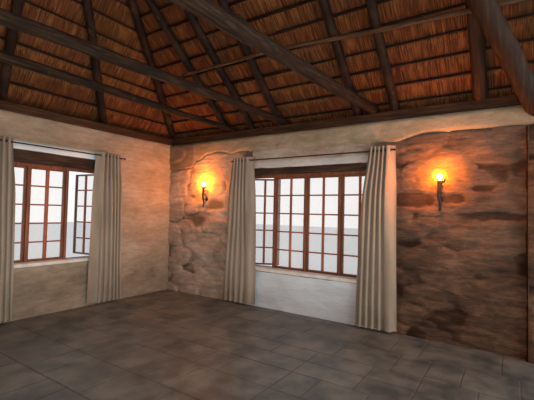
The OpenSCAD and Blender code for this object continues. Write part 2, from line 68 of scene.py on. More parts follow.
# What follows from them
ROOM_L, ROOM_W = X_OPEN - X_IN, 2 * Y_IN
BAND_Z = PLATE_Z - BAND_H
LAMP_TOP = FLOOR_Z + LAMP_Z + LAMP_H
REACH = WALL_T + EAVE
TAN_S, COS_S = math.tan(SIDE_ANGLE), math.cos(SIDE_ANGLE)
TAN_E = Y_IN * TAN_S / HIP_RUN
COS_E = math.cos(math.atan(TAN_E))
APEX = np.array([X_IN + HIP_RUN, 0, RAFTER_Z + Y_IN * TAN_S])
BATTEN_OFF = RAFTER_D / 2 + BATTEN_D / 2
THATCH_OFF = RAFTER_D / 2 + BATTEN_D + 0.0006
TOP_OFF = THATCH_OFF + THATCH_T
SIDES = ((1, "right"), (-1, "left"))


# Heights of the roof's surfaces, u in from a wall's face and off out from the rafters' centre lines
def side_height(u, off=0.0):
    return RAFTER_Z + u * TAN_S + off / COS_S


def bell(off):
    """Where the hipped end's foot turns from the long slopes' pitch to its own."""
    return off * (1 / COS_S - 1 / COS_E) / (TAN_E - TAN_S)


def apex(off):
    """Where the hipped end meets the ridge."""
    return HIP_RUN + off * (1 / COS_S - 1 / COS_E) / TAN_E


def end_height(u, off):
    return np.where(u < bell(off), side_height(u, off), RAFTER_Z + u * TAN_E + off / COS_E)


def hip_start(u, off):
    """How far the hip is from the end wall's face, where it is u in from a long wall's."""
    b, a = bell(off), apex(off)
    return np.where(u < b, u, b + (u - b) * (a - b) / (Y_IN - b))


def hip_rise(x, off):
    """How far in from a long wall's face the hip is, at x from the end wall's."""
    b, a = bell(off), apex(off)
    return np.minimum(np.where(x < b, x, b + (x - b) * (Y_IN - b) / (a - b)), Y_IN)


# Noise
def hash2(i, j, seed):
    """Random number from 0 to 1 for each pair of whole numbers."""
    n = i.astype(np.int64) * 374761393 + j.astype(np.int64) * 668265263 + seed * 974634777
    n &= 0xFFFFFFFF
    for shift, factor in ((13, 1274126177), (15, 2246822519)):
        n = ((n ^ (n >> shift)) * factor) & 0xFFFFFFFF
    return ((n ^ (n >> 16)) & 0xFFFFFF) / float(0xFFFFFF)


def noise(x, y, seed):
    """Smooth noise from 0 to 1 with cells of size 1."""
    x, y = np.broadcast_arrays(np.asarray(x, float), np.asarray(y, float))
    i, j = np.floor(x), np.floor(y)
    fx, fy = smooth(x - i), smooth(y - j)
    low = hash2(i, j, seed) * (1 - fx) + hash2(i + 1, j, seed) * fx
    high = hash2(i, j + 1, seed) * (1 - fx) + hash2(i + 1, j + 1, seed) * fx
    return low * (1 - fy) + high * fy


def fbm(x, y, seed, octaves=4):
    """Noise summed over ever finer cells."""
    total, weight, scale = 0.0, 0.0, 1.0
    for k in range(octaves):
        total = total + noise(np.asarray(x) / scale, np.asarray(y) / scale, seed + 31 * k) * scale
        weight += scale
        scale *= 0.5
    return total / weight


def smooth(x):
    x = np.clip(x, 0, 1)
    return x * x * (3 - 2 * x)


# Materials
def linear(level):
    """Linear value of an sRGB level from 0 to 255."""
    level /= 255.0
    return level / 12.92 if level <= 0.04045 else ((level + 0.055) / 1.055) ** 2.4


def shade(value):
    """RGBA of a grey from 0 to 1, or of an sRGB colour from 0 to 255. Linear RGBA stays as it is."""
    if not isinstance(value, tuple):
        return (value, value, value, 1.0)
    return value if len(value) == 4 else tuple(linear(level) for level in value) + (1.0,)


class Mat:
    """Short way to write a node material in the frame's own coordinates."""

    def __init__(self, name, rough=0.7, spec=0.3):
        self.mat = bpy.data.materials.new(name)
        self.mat.use_nodes = True
        self.tree = self.mat.node_tree
        self.bsdf = self.tree.nodes["Principled BSDF"]
        self.feed(self.bsdf, {"Roughness": rough, "Specular IOR Level": spec})
        self.normal = None

    def add(self, kind, **values):
        node = self.tree.nodes.new(kind)
        for key, value in values.items():
            setattr(node, key, value)
        return node

    def feed(self, node, values):
        """Links or sets each input that is named to its socket, number or colour."""
        for key, value in values.items():
            if isinstance(value, bpy.types.NodeSocket):
                self.tree.links.new(value, node.inputs[key])
            else:
                node.inputs[key].default_value = shade(value) if isinstance(value, tuple) else value

    def noise(self, scale, detail=5, rough=0.55, stretch=(1, 1, 1), distort=0.0):
        mapping = self.add("ShaderNodeMapping")
        mapping.inputs["Scale"].default_value = stretch
        self.feed(mapping, {"Vector": self.add("ShaderNodeTexCoord").outputs["Object"]})
        node = self.add("ShaderNodeTexNoise")
        self.feed(node, {"Vector": mapping.outputs["Vector"], "Scale": scale, "Detail": detail,
                         "Roughness": rough, "Distortion": distort})
        return node.outputs["Fac"]

    def attribute(self, name):
        return self.add("ShaderNodeAttribute", attribute_name=name).outputs["Fac"]

    def ramp(self, fac, *stops):
        node = self.add("ShaderNodeValToRGB")
        elements = node.color_ramp.elements
        while len(elements) < len(stops):
            elements.new(0.5)
        for element, (place, tone) in zip(elements, stops):
            element.position, element.color = place, shade(tone)
        self.feed(node, {"Fac": fac})
        return node.outputs["Color"]

    def mix(self, fac, a, b, blend="MIX"):
        node = self.add("ShaderNodeMix", data_type="RGBA", blend_type=blend)
        self.feed(node, {0: fac, 6: a, 7: b})
        return node.outputs[2]

    def maths(self, kind, a, b):
        node = self.add("ShaderNodeMath", operation=kind)
        self.feed(node, {0: a, 1: b})
        return node.outputs[0]

    def colour(self, socket):
        self.feed(self.bsdf, {"Base Color": socket})

    def roughness(self, fac, low, high):
        node = self.add("ShaderNodeMapRange")
        self.feed(node, {"Value": fac, "To Min": low, "To Max": high})
        self.feed(self.bsdf, {"Roughness": node.outputs[0]})

    def bump(self, height, distance, strength):
        """Bump on top of the bumps that are there."""
        node = self.add("ShaderNodeBump")
        self.feed(node, {"Height": height, "Distance": distance, "Strength": strength})
        if self.normal is not None:
            self.feed(node, {"Normal": self.normal})
        self.normal = node.outputs["Normal"]
        self.feed(self.bsdf, {"Normal": self.normal})


def wall_material(name, wash, stain, dirt_and_shade, grain=0.004, layers=0.012):
    """Washed or plastered stone in level streaks, white or brown where its attributes say so, the brown
    partly painted shade, and darker in its hollows with dirt and painted shade.
    """
    m = Mat(name, 0.85, 0.2)
    broad = m.noise(1.5, 5, 0.6, (1, 1, 2.0), 0.3)
    streaks = m.noise(5.0, 8, 0.72, (1, 1, 3.6), 0.25)
    fine = m.noise(46, 5, 0.7, (1, 1, 2.0))
    tone = m.maths("MULTIPLY", m.maths("ADD", broad, streaks), 0.5)
    washed, stained = (m.ramp(tone, *zip((0.38, 0.5, 0.62), tones)) for tones in (wash, stain))
    colour = m.mix(m.attribute("stain"), washed, stained)
    colour = m.mix(0.4, colour, m.ramp(fine, (0.35, 0.6), (0.65, 1.05)), "MULTIPLY")
    # Dirt and painted shade darken the hollows, where the relief attribute is low
    dirty_and_shaded = m.mix(1.0, colour, dirt_and_shade, "MULTIPLY")
    colour = m.mix(m.ramp(m.attribute("relief"), (0.0, 1.0), (0.5, 0.0)), colour, dirty_and_shaded)
    white = m.ramp(broad, (0.3, (188, 201, 207)), (0.7, (213, 226, 232)))
    m.colour(m.mix(m.attribute("pale"), colour, white))
    m.roughness(fine, 0.75, 0.95)
    m.bump(streaks, layers, 0.8)
    m.bump(m.noise(8, 5, 0.65, (0.5, 0.5, 3.0), 0.4), layers, 0.8)
    m.bump(m.noise(11, 6, 0.65, (1, 1, 1.6)), 0.012, 0.7)
    m.bump(fine, grain, 0.6)
    return m.mat


def wood_material(name, tones, along, rough=(0.5, 0.75), bark=0.002, spec=0.3, wear=None):
    """Timber in a dark, a middle and a light tone, with grain that runs along some axes."""
    m = Mat(name, rough[0], spec)
    stretch = [0.9 if axis in along else 14.0 for axis in range(3)]
    grain = m.noise(3.2, 8, 0.65, stretch, 0.25)
    broad = m.noise(2.2, 4, 0.6)
    colour = m.ramp(grain, *zip((0.3, 0.5, 0.72), tones))
    colour = m.mix(0.5, colour, m.ramp(broad, (0.3, 0.55), (0.7, 1.15)), "MULTIPLY")
    if wear is not None:
        colour = m.mix(m.ramp(m.noise(5, 5, 0.7), (0.6, 0.0), (0.72, 1.0)), colour, wear)
    m.colour(colour)
    m.roughness(grain, *rough)
    m.bump(grain, bark, 0.8)
    return m.mat


def thatch_material(name, across, tones, patch, hollow_shade, tips, carved=True):
    """Bundled reed whose stems run up the slope, so across is the axis that they are thin in. Carved
    reed says how far out of its hollows each point is, and its hollows take a painted shade."""
    m = Mat(name, 0.8, 0.15)
    stems = m.noise(1.4, 6, 0.6, [90.0 if axis == across else 2.2 for axis in range(3)])
    bundles = m.noise(1.5, 4, 0.6, [5.0 if axis == across else 0.7 for axis in range(3)])
    broad = m.noise(1.1, 4, 0.6)
    colour = m.ramp(stems, *zip((0.3, 0.5, 0.7), tones))
    colour = m.mix(0.55, colour, m.ramp(bundles, (0.3, 0.5), (0.65, 1.2)), "MULTIPLY")
    colour = m.mix(m.ramp(broad, (0.5, 0.0), (0.72, 0.45)), colour, patch)
    if carved:
        colour = m.mix(m.ramp(m.attribute("relief"), (0.0, 1.0), (0.6, 0.0)), colour, hollow_shade)
        colour = m.mix(m.ramp(m.attribute("pale"), (0.3, 0.0), (1.0, 1.0)), colour, tips)
    m.colour(colour)
    m.bump(stems, 0.006, 1.0)
    return m.mat


def plain_material(name, base, other, scale, rough, bump, spec=0.3):
    """Material that is mottled in two tones."""
    m = Mat(name, rough[0], spec)
    tone = m.noise(scale, 6, 0.6)
    m.colour(m.ramp(tone, (0.35, base), (0.65, other)))
    m.roughness(tone, *rough)
    m.bump(tone, bump, 0.7)
    return m.mat


def cloth_material():
    m = Mat("linen", 0.9, 0.1)
    threads = m.maths("ADD", m.noise(260, 2, 0.5, (1, 1, 0.12)), m.noise(260, 2, 0.5, (0.12, 0.12, 1)))
    tone = m.ramp(m.noise(4, 4, 0.6, (1, 1, 0.3)), (0.3, (128, 117, 102)), (0.7, (152, 141, 125)))
    weave = m.ramp(m.maths("MULTIPLY", threads, 0.5), (0.3, 0.7), (0.7, 1.0))
    m.colour(m.mix(0.3, tone, weave, "MULTIPLY"))
    m.bump(threads, 0.0006, 0.6)
    m.feed(m.bsdf, {"Sheen Weight": 0.2})
    return m.mat


def glass_material():
    m = Mat("window_glass", 0.03, 0.5)
    m.colour(m.ramp(m.noise(2, 3), (0.3, (0.86, 0.9, 0.9, 1.0)), (0.7, (0.92, 0.95, 0.94, 1.0))))
    m.feed(m.bsdf, {"Alpha": 0.12})
    return m.mat


GLOW = (1.0, 0.235, 0.01)


def bulb_material():
    m = Mat("lit_bulb", 0.3, 0.5)
    m.colour(m.ramp(m.noise(20, 3), (0.3, (255, 196, 120)), (0.7, (255, 214, 150))))
    m.feed(m.bsdf, {"Emission Color": GLOW + (1.0,), "Emission Strength": 520.0})
    return m.mat


BROWN_STONE = ((54, 43, 36), (82, 63, 50), (116, 89, 68))
# Reed: tones, patch, the painted shade of its hollows, and its tips
REED = (((33, 19, 11), (80, 48, 28), (130, 86, 52)), (58, 47, 22), (18, 10, 6), (142, 100, 58))
WORN_REED = (((66, 55, 43), (112, 96, 76), (150, 134, 108)), (82, 78, 62), (38, 31, 25), (164, 148, 120))
# Each wall gets its wash, its brown of stain and painted shade, and the dirt and painted shade of its hollows
M = {
    "stone_wall": wall_material("bagged_rubble", ((138, 125, 111), (164, 150, 135), (184, 171, 156)),
                                BROWN_STONE, (136, 127, 120)),
    "plastered_stone": wall_material("smooth_plaster", ((130, 118, 99), (147, 134, 115), (164, 152, 134)),
                                     ((100, 91, 78), (120, 109, 93), (138, 126, 108)),
                                     (196, 186, 172), 0.002, 0.005),
    "plaster": wall_material("band_plaster", ((128, 116, 95), (146, 133, 110), (164, 151, 129)),
                             ((106, 91, 75), (123, 107, 88), (141, 124, 103)), (186, 174, 158), 0.002, 0.004),
    "plate_timber": wood_material("plate_wood", ((32, 22, 16), (56, 38, 26), (88, 62, 42)), (0, 1)),
    "log": wood_material("bare_log", ((16, 11, 7), (34, 24, 16), (64, 48, 33)), (1,), (0.6, 0.85), 0.004,
                         wear=(60, 46, 33)),
    "dark_pole": wood_material("dark_pole_wood", ((15, 11, 10), (31, 22, 18), (62, 46, 34)), (0, 1, 2),
                               (0.5, 0.8), 0.003, wear=(66, 54, 36)),
    "pale_pole": wood_material("pale_pole_wood", ((42, 28, 18), (72, 53, 38), (108, 85, 63)), (0,),
                               (0.55, 0.8), 0.003),
    "brown_pole": wood_material("brown_pole_wood", ((28, 18, 13), (45, 31, 22), (73, 53, 38)), (1, 2),
                                bark=0.004),
    "batten": wood_material("batten_wood", ((14, 10, 8), (28, 19, 14), (54, 38, 26)), (0, 1), (0.55, 0.8)),
    "window_timber": wood_material("window_wood", ((88, 52, 38), (124, 76, 54), (156, 104, 76)), (2,),
                                   (0.4, 0.6), 0.0012, 0.4),
    "bar_timber": wood_material("bar_wood", ((124, 66, 46), (154, 88, 62), (178, 114, 84)), (2,),
                                (0.4, 0.6), 0.001, 0.4),
    "lintel_timber": wood_material("lintel_wood", ((32, 23, 19), (54, 40, 32), (86, 66, 52)), (0, 1)),
    "thatch_side": thatch_material("reed_x", 0, *REED),
    "thatch_end": thatch_material("reed_y", 1, *REED),
    "worn_side": thatch_material("weathered_reed_x", 0, *WORN_REED),
    "worn_end": thatch_material("weathered_reed_y", 1, *WORN_REED),
    "side_body": thatch_material("reed_body_x", 0, *WORN_REED, carved=False),
    "end_body": thatch_material("reed_body_y", 1, *WORN_REED, carved=False),
    "stone_floor": plain_material("flagstone", (62, 67, 66), (104, 106, 100), 3.5, (0.35, 0.6), 0.002),
    "grout": plain_material("grout", (64, 58, 54), (88, 80, 74), 30, (0.8, 0.9), 0.002),
    "ridge_mortar": plain_material("ridge_cement", (112, 106, 98), (150, 144, 134), 6, (0.8, 0.95), 0.012),
    "sill_plaster": plain_material("sill_white", (190, 184, 174), (212, 208, 200), 7, (0.6, 0.8), 0.003),
    "black_iron": plain_material("black_iron", (24, 23, 23), (42, 39, 37), 60, (0.4, 0.6), 0.0008, 0.5),
    "curtain_cloth": cloth_material(),
    "glass": glass_material(),
    "bulb_glass": bulb_material(),
}
# CAD nodes whose look isn't that of their slot
NODE_LOOK = {"floor": "grout", "end_thatch": "end_body", "right_thatch": "side_body",
             "left_thatch": "side_body"}
for row in frame["record"]["subparts"]:
    materials = nodes[row["node"]].data.materials
    materials.clear()
    materials.append(M[NODE_LOOK.get(row["node"], row["material_slot"])])


# Meshes
class Heap:
    """Collects many small shapes into one mesh."""

    def __init__(self):
        self.points, self.faces, self.values, self.count = [], [], {}, 0

    def add(self, points, *blocks, **values):
        """Adds a shape: its points, its faces in blocks of one kind, and values for its points."""
        points = np.reshape(points, (-1, 3))
        for block in blocks:
            self.faces += (np.asarray(block) + self.count).tolist()
        for key, got in values.items():
            self.values.setdefault(key, []).append(np.broadcast_to(np.ravel(got), len(points)))
        self.points.append(points)
        self.count += len(points)

    def piece(self, name, material, replaces=None, slot=None, flat=False):
        """Makes the piece. Its slot argument is not used."""
        mesh = bpy.data.meshes.new(name)
        mesh.from_pydata(np.concatenate(self.points).tolist(), [], self.faces)
        for key, got in self.values.items():
            layer = mesh.attributes.new(key, "FLOAT", "POINT")
            layer.data.foreach_set("value", np.concatenate(got).astype(np.float32))
        mesh.update()
        if not flat:
            mesh.shade_smooth()
        mesh.materials.append(M[material])
        obj = bpy.data.objects.new(name, mesh)
        scene.collection.objects.link(obj)
        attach(obj, "root")
        slot or material
        if replaces:
            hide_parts(replaces)
        return obj


def grid_faces(rows, cols, keep=None, flip=False):
    i, j = np.meshgrid(np.arange(rows - 1), np.arange(cols - 1), indexing="ij")
    a = i * cols + j
    quads = np.stack([a, a + 1, a + cols + 1, a + cols], -1)
    quads = quads.reshape(-1, 4) if keep is None else quads[keep]
    return quads[:, ::-1] if flip else quads


def tube_faces(rings, sides):
    """Faces of a closed tube: its skin, then its first and its last end."""
    i, j = np.meshgrid(np.arange(rings - 1), np.arange(sides), indexing="ij")
    a, b = i * sides + j, i * sides + (j + 1) % sides
    skin = np.stack([a + sides, b + sides, b, a], -1).reshape(-1, 4)
    last = (rings - 1) * sides
    return skin, np.arange(sides)[None], np.arange(last + sides - 1, last - 1, -1)[None]


def around(sides):
    """Angles of a ring's points."""
    return np.linspace(0, 2 * math.pi, sides, endpoint=False)


def tube(heap, path, radius, sides, hint=None):
    """Closed tube along a path. radius is one number, one for each ring, or one for each point."""
    path = np.asarray(path, float)
    run = np.gradient(path, axis=0)
    run /= np.linalg.norm(run, axis=1)[:, None]
    if hint is None:
        hint = (1.0, 0, 0) if abs(run.mean(0)[2]) > 0.9 else (0, 0, 1.0)
    u = np.cross(run, hint)
    u /= np.linalg.norm(u, axis=1)[:, None]
    v = np.cross(run, u)
    theta = around(sides)[:, None]
    ring = np.cos(theta) * u[:, None] + np.sin(theta) * v[:, None]
    radius = np.asarray(radius, float)
    if radius.ndim == 1:
        radius = radius[:, None]
    radius = np.broadcast_to(radius, (len(path), sides))[..., None]
    heap.add(path[:, None] + radius * ring, *tube_faces(len(path), sides))


def knot(s, theta, at, size):
    """Swelling of a pole round a place, which is a distance along it and an angle round it, like the
    size. It is 1 in the middle."""
    turn = np.angle(np.exp(1j * (theta - at[1])))
    return np.exp(-((s - at[0]) / size[0])[:, None] ** 2 - (turn / size[1]) ** 2)


def natural_pole(heap, a, b, d, seed, wobble=0.012, sides=14, step=0.08, taper=0.08, rough=0.05, knots=3):
    """Slightly crooked pole with swellings and knots between two points."""
    a, b = np.asarray(a, float), np.asarray(b, float)
    length = np.linalg.norm(b - a)
    t = np.linspace(0, 1, max(6, int(length / step)))
    s = t * length
    run = (b - a) / length
    side = np.cross(run, [0, 0, 1.0] if abs(run[2]) < 0.9 else [1.0, 0, 0])
    side /= np.linalg.norm(side)
    hold = np.sin(math.pi * t) ** 0.4
    w1 = (fbm(s * 0.9 + seed * 3.7, seed, seed) - 0.5) * 2 * wobble * hold
    w2 = (fbm(s * 0.9 + seed * 5.1, seed + 9, seed + 5) - 0.5) * 2 * wobble * hold
    path = a + (b - a) * t[:, None] + side * w1[:, None] + np.cross(run, side) * w2[:, None]
    theta = around(sides)
    bark = noise(s[:, None] * 5, np.cos(theta) * 2 + np.sin(theta) + seed, seed + 3)
    radius = (d / 2 * (1 + taper * (0.5 - t)))[:, None] * (1 + rough * 2 * (bark - 0.5))
    rng = np.random.default_rng(seed + 77)
    for _ in range(int(knots * length / 3 + 0.5)):
        at = rng.uniform(0.1, 0.9) * length, rng.uniform(0, 2 * math.pi)
        radius = radius + d * rng.uniform(0.05, 0.12) * knot(s, theta, at, (0.5 * d, 0.5))
    tube(heap, path, radius, sides)


def bevel_bar(heap, a, b, width, depth, width_dir, chamfer):
    """Straight bar with chamfered edges."""
    a, b, w = (np.asarray(p, float) for p in (a, b, width_dir))
    n = np.cross((b - a) / np.linalg.norm(b - a), w)
    n /= np.linalg.norm(n)
    hw, hd, c = width / 2, depth / 2, chamfer
    outline = ((hw - c, -hd), (hw, c - hd), (hw, hd - c), (hw - c, hd),
               (c - hw, hd), (-hw, hd - c), (-hw, c - hd), (c - hw, -hd))
    ring = np.array([w * p + n * q for p, q in outline])
    heap.add([a + ring, b + ring], *tube_faces(2, len(ring)))


# Walls
WALL_CELL, OUTER_CELL = 0.02, 0.027
STONE_DEPTH, PIER_DEPTH, PLASTER_DEPTH, BAND_DEPTH = 0.048, 0.02, 0.014, 0.02
# The relief starts just below the floor, and the outer stones end below the eave
RELIEF_FOOT, OUTER_HEAD = FLOOR_Z - 0.01, PLATE_Z - 0.2


def breaks(lo, hi, edges, cell):
    """Grid lines from lo to hi that pass through every edge."""
    marks = sorted({lo, hi, *[edge for edge in edges if lo < edge < hi]})
    out = [lo]
    for p, q in zip(marks, marks[1:]):
        out += list(np.linspace(p, q, max(2, int(math.ceil((q - p) / cell)) + 1))[1:])
    return np.array(out)


def blobs(a, z, seed, wide, high, crisp):
    """Washed stones. Each stands out and leans by its own amount, and the wash blends it into the
    next. Gives how far each point stands, its squared distance from its stone's middle, and how much
    farther the next stone's middle is."""
    A, Z = a / wide, z / high
    i, j = np.floor(A), np.floor(Z)
    total, weight, near = np.zeros(A.shape), np.full(A.shape, 1e-9), np.full(A.shape, 9.0)
    second = near.copy()
    for di in (-1, 0, 1):
        for dj in (-1, 0, 1):
            p, q = i + di, j + dj
            dx = A - p - 0.6 * hash2(p, q, seed) - 0.5 * np.mod(q, 2) + 0.05
            dz = Z - q - 0.25 - 0.5 * hash2(p, q, seed + 1)
            far = dx * dx + dz * dz
            pull = np.exp(-crisp * far)
            lean = 0.7 * (hash2(p, q, seed + 3) - 0.5) * dx + 1.1 * (hash2(p, q, seed + 4) - 0.4) * dz
            total += pull * (hash2(p, q, seed + 2) + lean)
            weight += pull
            second = np.minimum(second, np.maximum(near, far))
            near = np.minimum(near, far)
    return total / weight, near, np.sqrt(second) - np.sqrt(near)


def rubble(a, z, seed, depth):
    """Relief of rubble under a thick wash, and how far out of its hollows each point is."""
    aa = a + 0.2 * (fbm(a * 1.2, z * 2.0, seed, 3) - 0.5)
    zz = z + 0.18 * (fbm(a * 0.8, z * 1.4, seed + 4, 3) - 0.5)
    big, near, gap = blobs(aa, zz, seed, 0.5, 0.24, 16)
    small, small_near, _ = blobs(aa, zz, seed + 20, 0.23, 0.1, 12)
    stand = 0.66 * big + 0.26 * small - 0.34 * near - 0.12 * small_near + 0.16
    level = z * 12 + 4 * fbm(a * 0.9, z * 1.5, seed + 6, 4)
    shelf = (level - np.floor(level)) * smooth((noise(a * 1.6, z * 5, seed + 7) - 0.35) / 0.3)
    crevice = (1 - smooth(gap / 0.3)) * smooth((noise(a * 1.3, z * 2.6, seed + 8) - 0.3) / 0.3)
    h = depth * (stand - 0.32 * crevice + 0.2 * shelf) + 0.008 * (fbm(a * 4, z * 15, seed + 9, 4) - 0.5)
    # The second value darkens hollows and crevices with dirt and painted shade
    return h, (0.1 + 0.9 * smooth((stand - 0.12) / 0.42)) * (1 - 0.5 * crevice)


def outer_stones(a, z, seed):
    """The outer walls' stones lie in rough courses."""
    aa = a + 0.12 * (fbm(a * 2.0, z * 3.0, seed, 3) - 0.5)
    zz = z + 0.1 * (fbm(a * 1.3, z * 2.4, seed + 4, 3) - 0.5)
    return blobs(aa, zz, seed, 0.38, 0.19, 30)


def outer_relief(a, z, seed):
    """Stones with recessed joints."""
    stand, near, gap = outer_stones(a, z, seed)
    joint = smooth((gap - 0.02) / 0.22)
    rough = fbm(a * 6, z * 9, seed + 9, 4)
    h = 0.014 * stand + 0.02 * joint - 0.012 * near + 0.01 * (rough - 0.4)
    return h, 0.12 + 0.88 * smooth(joint * (0.6 + 0.8 * rough))


def outer_stain(a, z, seed):
    """Some stones are browner, and all are near the ground."""
    blotch = smooth((fbm(a * 0.9, z * 1.6, 77, 4) - 0.42) / 0.2)
    brown = 0.75 * smooth((outer_stones(a, z, seed)[0] - 0.35) / 0.4) * (0.5 + 0.5 * blotch)
    return np.clip(brown + 0.35 * smooth((0.5 - z) / 0.5), 0, 1)


def pier_relief(a, z, seed, lit):
    """Rubble, with painted shade all over where it isn't lit, as dark as in its hollows."""
    h, rel = rubble(a, z, seed, PIER_DEPTH)
    return h, lit * rel


def wall_sheet(name, material, origin, along, out, length, z_lo, z_hi, relief, sign=1, cell=WALL_CELL,
               holes=(), taper=(0, 0, 0, 0), pale=0.0, stain=0.0, bottom=None):
    """Relief that stands just proud of a wall's face, from a place and in directions in plan that sign
    mirrors. taper gives the width over which it dies away at its start, end, foot and head. pale says
    how white it is, and the argument after it how brown with stain and painted shade, as a number or
    where. bottom gives the height of a wavy lower edge."""
    a = breaks(0, length, [edge for box in holes for edge in box[:2]], cell)
    z = breaks(z_lo, z_hi, [edge for box in holes for edge in box[2:]], cell)
    A, Z = np.meshgrid(a, z)
    MA, MZ = np.meshgrid((a[:-1] + a[1:]) / 2, (z[:-1] + z[1:]) / 2)
    keep = np.ones(MA.shape, bool)
    h, rel = relief(A, Z)
    fade = np.ones_like(A)
    for width, dist in zip(taper, (A, length - A, Z - z_lo, z_hi - Z)):
        if width:
            fade = np.minimum(fade, smooth(dist / width))
    for a0, a1, z0, z1 in holes:
        beside = np.maximum(np.maximum(a0 - A, A - a1), 0)
        above = np.maximum(np.maximum(z0 - Z, Z - z1), 0)
        fade = np.minimum(fade, smooth(np.hypot(beside, above) / 0.06))
        keep &= ~((MA > a0) & (MA < a1) & (MZ > z0) & (MZ < z1))
    if bottom is not None:
        fade = np.minimum(fade, smooth((Z - bottom(A)) / 0.03))
        keep &= MZ > bottom(MA) - 0.03
    h = np.maximum(h, 0.0005) * fade - 0.0012 * (fade < 0.02)
    origin, along, out = (np.array([x, sign * y, 0.0]) for x, y in (origin, along, out))
    points = origin + A[..., None] * along + h[..., None] * out + Z[..., None] * np.array([0, 0, 1.0])
    flip = np.cross(along, [0, 0, 1.0]) @ out < 0
    white, brown = (share(A, Z) if callable(share) else share for share in (pale, stain))
    heap = Heap()
    heap.add(points, grid_faces(len(z), len(a), keep, flip), relief=rel, pale=white, stain=brown)
    heap.piece(name, material)


def hole(win, at):
    """A window's opening, lintel and all: its start and end along the wall, its foot and its head."""
    foot = FLOOR_Z + win["z"]
    return (at, at + win["w"], foot, foot + win["h"] + win["lintel"])


def lintel_face(win, at):
    """The lintel and its bearings show on the wall, so the relief leaves them bare."""
    foot = FLOOR_Z + win["z"] + win["h"]
    return (at - LINTEL_BEARING, at + win["w"] + LINTEL_BEARING, foot, foot + win["lintel"])


def outside(boxes):
    """The same boxes, as distances from an outer corner of the walls."""
    return [(box[0] + WALL_T, box[1] + WALL_T, *box[2:]) for box in boxes]


def near_head(A, Z, win, at):
    """Pale smooth strip above a window, between its lintel and its rod."""
    z0 = FLOOR_Z + win["z"] + win["h"] + win["lintel"]
    inside = smooth((A - at + 0.1) / 0.12) * smooth((at + win["w"] + 0.1 - A) / 0.12)
    return inside * smooth((Z - z0 + 0.03) / 0.02) * smooth((z0 + 0.13 - Z) / 0.05)


SIDE_A0, SIDE_A1 = SIDE_WIN["a"], SIDE_WIN["a"] + SIDE_WIN["w"]
SIDE_HOLES = [hole(SIDE_WIN, SIDE_A0), lintel_face(SIDE_WIN, SIDE_A0)]
END_AT = (END_WIN["a"], ROOM_W - END_WIN["a"] - END_WIN["w"])
END_HOLES = [box(END_WIN, at) for at in END_AT for box in (hole, lintel_face)]
# Lower edge of the plaster band, as distances along the wall and heights, followed from left to right
BAND_EDGE = ((0.0, 2.36), (0.33, 2.355), (0.62, 2.395), (0.68, 2.49), (0.79, 2.51), (0.9, 2.59),
             (1.14, 2.635), (1.34, 2.61), (1.48, 2.58), (1.7, 2.62), (2.28, 2.613), (2.82, 2.587),
             (3.38, 2.571), (3.9, 2.571), (4.22, 2.545), (4.31, 2.56), (4.41, 2.59), (4.53, 2.617),
             (4.65, 2.63), (5.2, 2.624), (5.98, 2.607))
# Stones and hollows that show round the lamps, each with the distance along the wall and the height
# of its middle, its half width and half height, how soft its edge is, and how far out its face is
STONES = (((4.74, 2.1, 0.44, 0.21, 0.12), 0.034), ((0.95, 2.12, 0.4, 0.32, 0.12), 0.034),
          ((4.62, 1.655, 0.5, 0.05, 0.3), 0.03), ((5.33, 1.75, 0.34, 0.1, 0.14), 0.03),
          ((0.13, 2.25, 0.13, 0.095, 0.22), 0.05), ((0.12, 2.0, 0.14, 0.12, 0.22), 0.048),
          ((0.36, 2.1, 0.09, 0.22, 0.25), 0.034), ((0.2, 1.62, 0.2, 0.22, 0.16), 0.044),
          ((0.6, 1.66, 0.17, 0.12, 0.2), 0.042), ((0.14, 1.14, 0.17, 0.2, 0.16), 0.046),
          ((0.62, 1.16, 0.25, 0.15, 0.16), 0.04), ((1.1, 1.36, 0.24, 0.13, 0.18), 0.04),
          ((0.95, 0.92, 0.34, 0.1, 0.22), 0.038), ((0.3, 0.72, 0.26, 0.14, 0.2), 0.04))
HOLLOWS = (((4.43, 1.79, 0.27, 0.1, 0.16), 0.003), ((4.88, 1.8, 0.15, 0.055, 0.2), 0.006),
           ((5.2, 1.92, 0.11, 0.045, 0.3), 0.008), ((5.33, 1.6, 0.36, 0.05, 0.25), 0.006),
           ((1.16, 1.71, 0.24, 0.08, 0.5), 0.008), ((0.75, 1.42, 0.22, 0.1, 0.7), 0.012))


def patch(A, Z, at, wander):
    """How far inside a rounded patch each point lies, from 0 to 1."""
    middle_a, middle_z, half_a, half_z, edge = at
    far_a, far_z = np.abs((A + wander - middle_a) / half_a), np.abs((Z + wander - middle_z) / half_z)
    return 1 - smooth(((far_a ** 3 + far_z ** 3) ** (1 / 3) - 1 + edge) / (2 * edge))


def side_stain(A, Z):
    """Brown on the wall's open end, darkest low down, partly stain and partly painted shade, and brown stain
    in blotches elsewhere.
    """
    open_end = A - 3.6 + 0.5 * (fbm(A * 1.2, Z * 2.2, 3, 3) - 0.5)
    blotches = 0.28 * smooth((fbm(A * 1.5, Z * 3, 19, 3) - 0.5) / 0.2) * (1 - smooth((A - 3.0) / 0.7))
    return smooth(open_end / 0.7) * (0.86 + 0.14 * smooth((2.2 - Z) / 1.4)) + blotches


def side_pale(A, Z):
    """White plaster over a side window's head and below its sill."""
    wander = 0.12 + 0.08 * (fbm(Z * 3, A * 0.3, 5, 2) - 0.5)
    below = smooth((A - SIDE_A0 + wander) / 0.1) * smooth((SIDE_A1 + wander - A) / 0.1)
    below = below * smooth((FLOOR_Z + SIDE_WIN["z"] - Z + 0.02) / 0.03)
    below = below * (0.75 + 0.25 * fbm(A * 2, Z * 2, 7, 3))
    return np.maximum(0.45 * near_head(A, Z, SIDE_WIN, SIDE_A0), below)


def band_bottom(A, seed):
    return np.interp(A, *zip(*BAND_EDGE)) + 0.02 * (fbm(A * 5, 0.5, seed + 40, 3) - 0.5)


def behind_curtains(A):
    """Where a side window's curtains hang, so that the stones there lie lower."""
    return smooth((A - SIDE_A0 + 0.3) / 0.06) * smooth((SIDE_A1 + 0.33 - A) / 0.06)


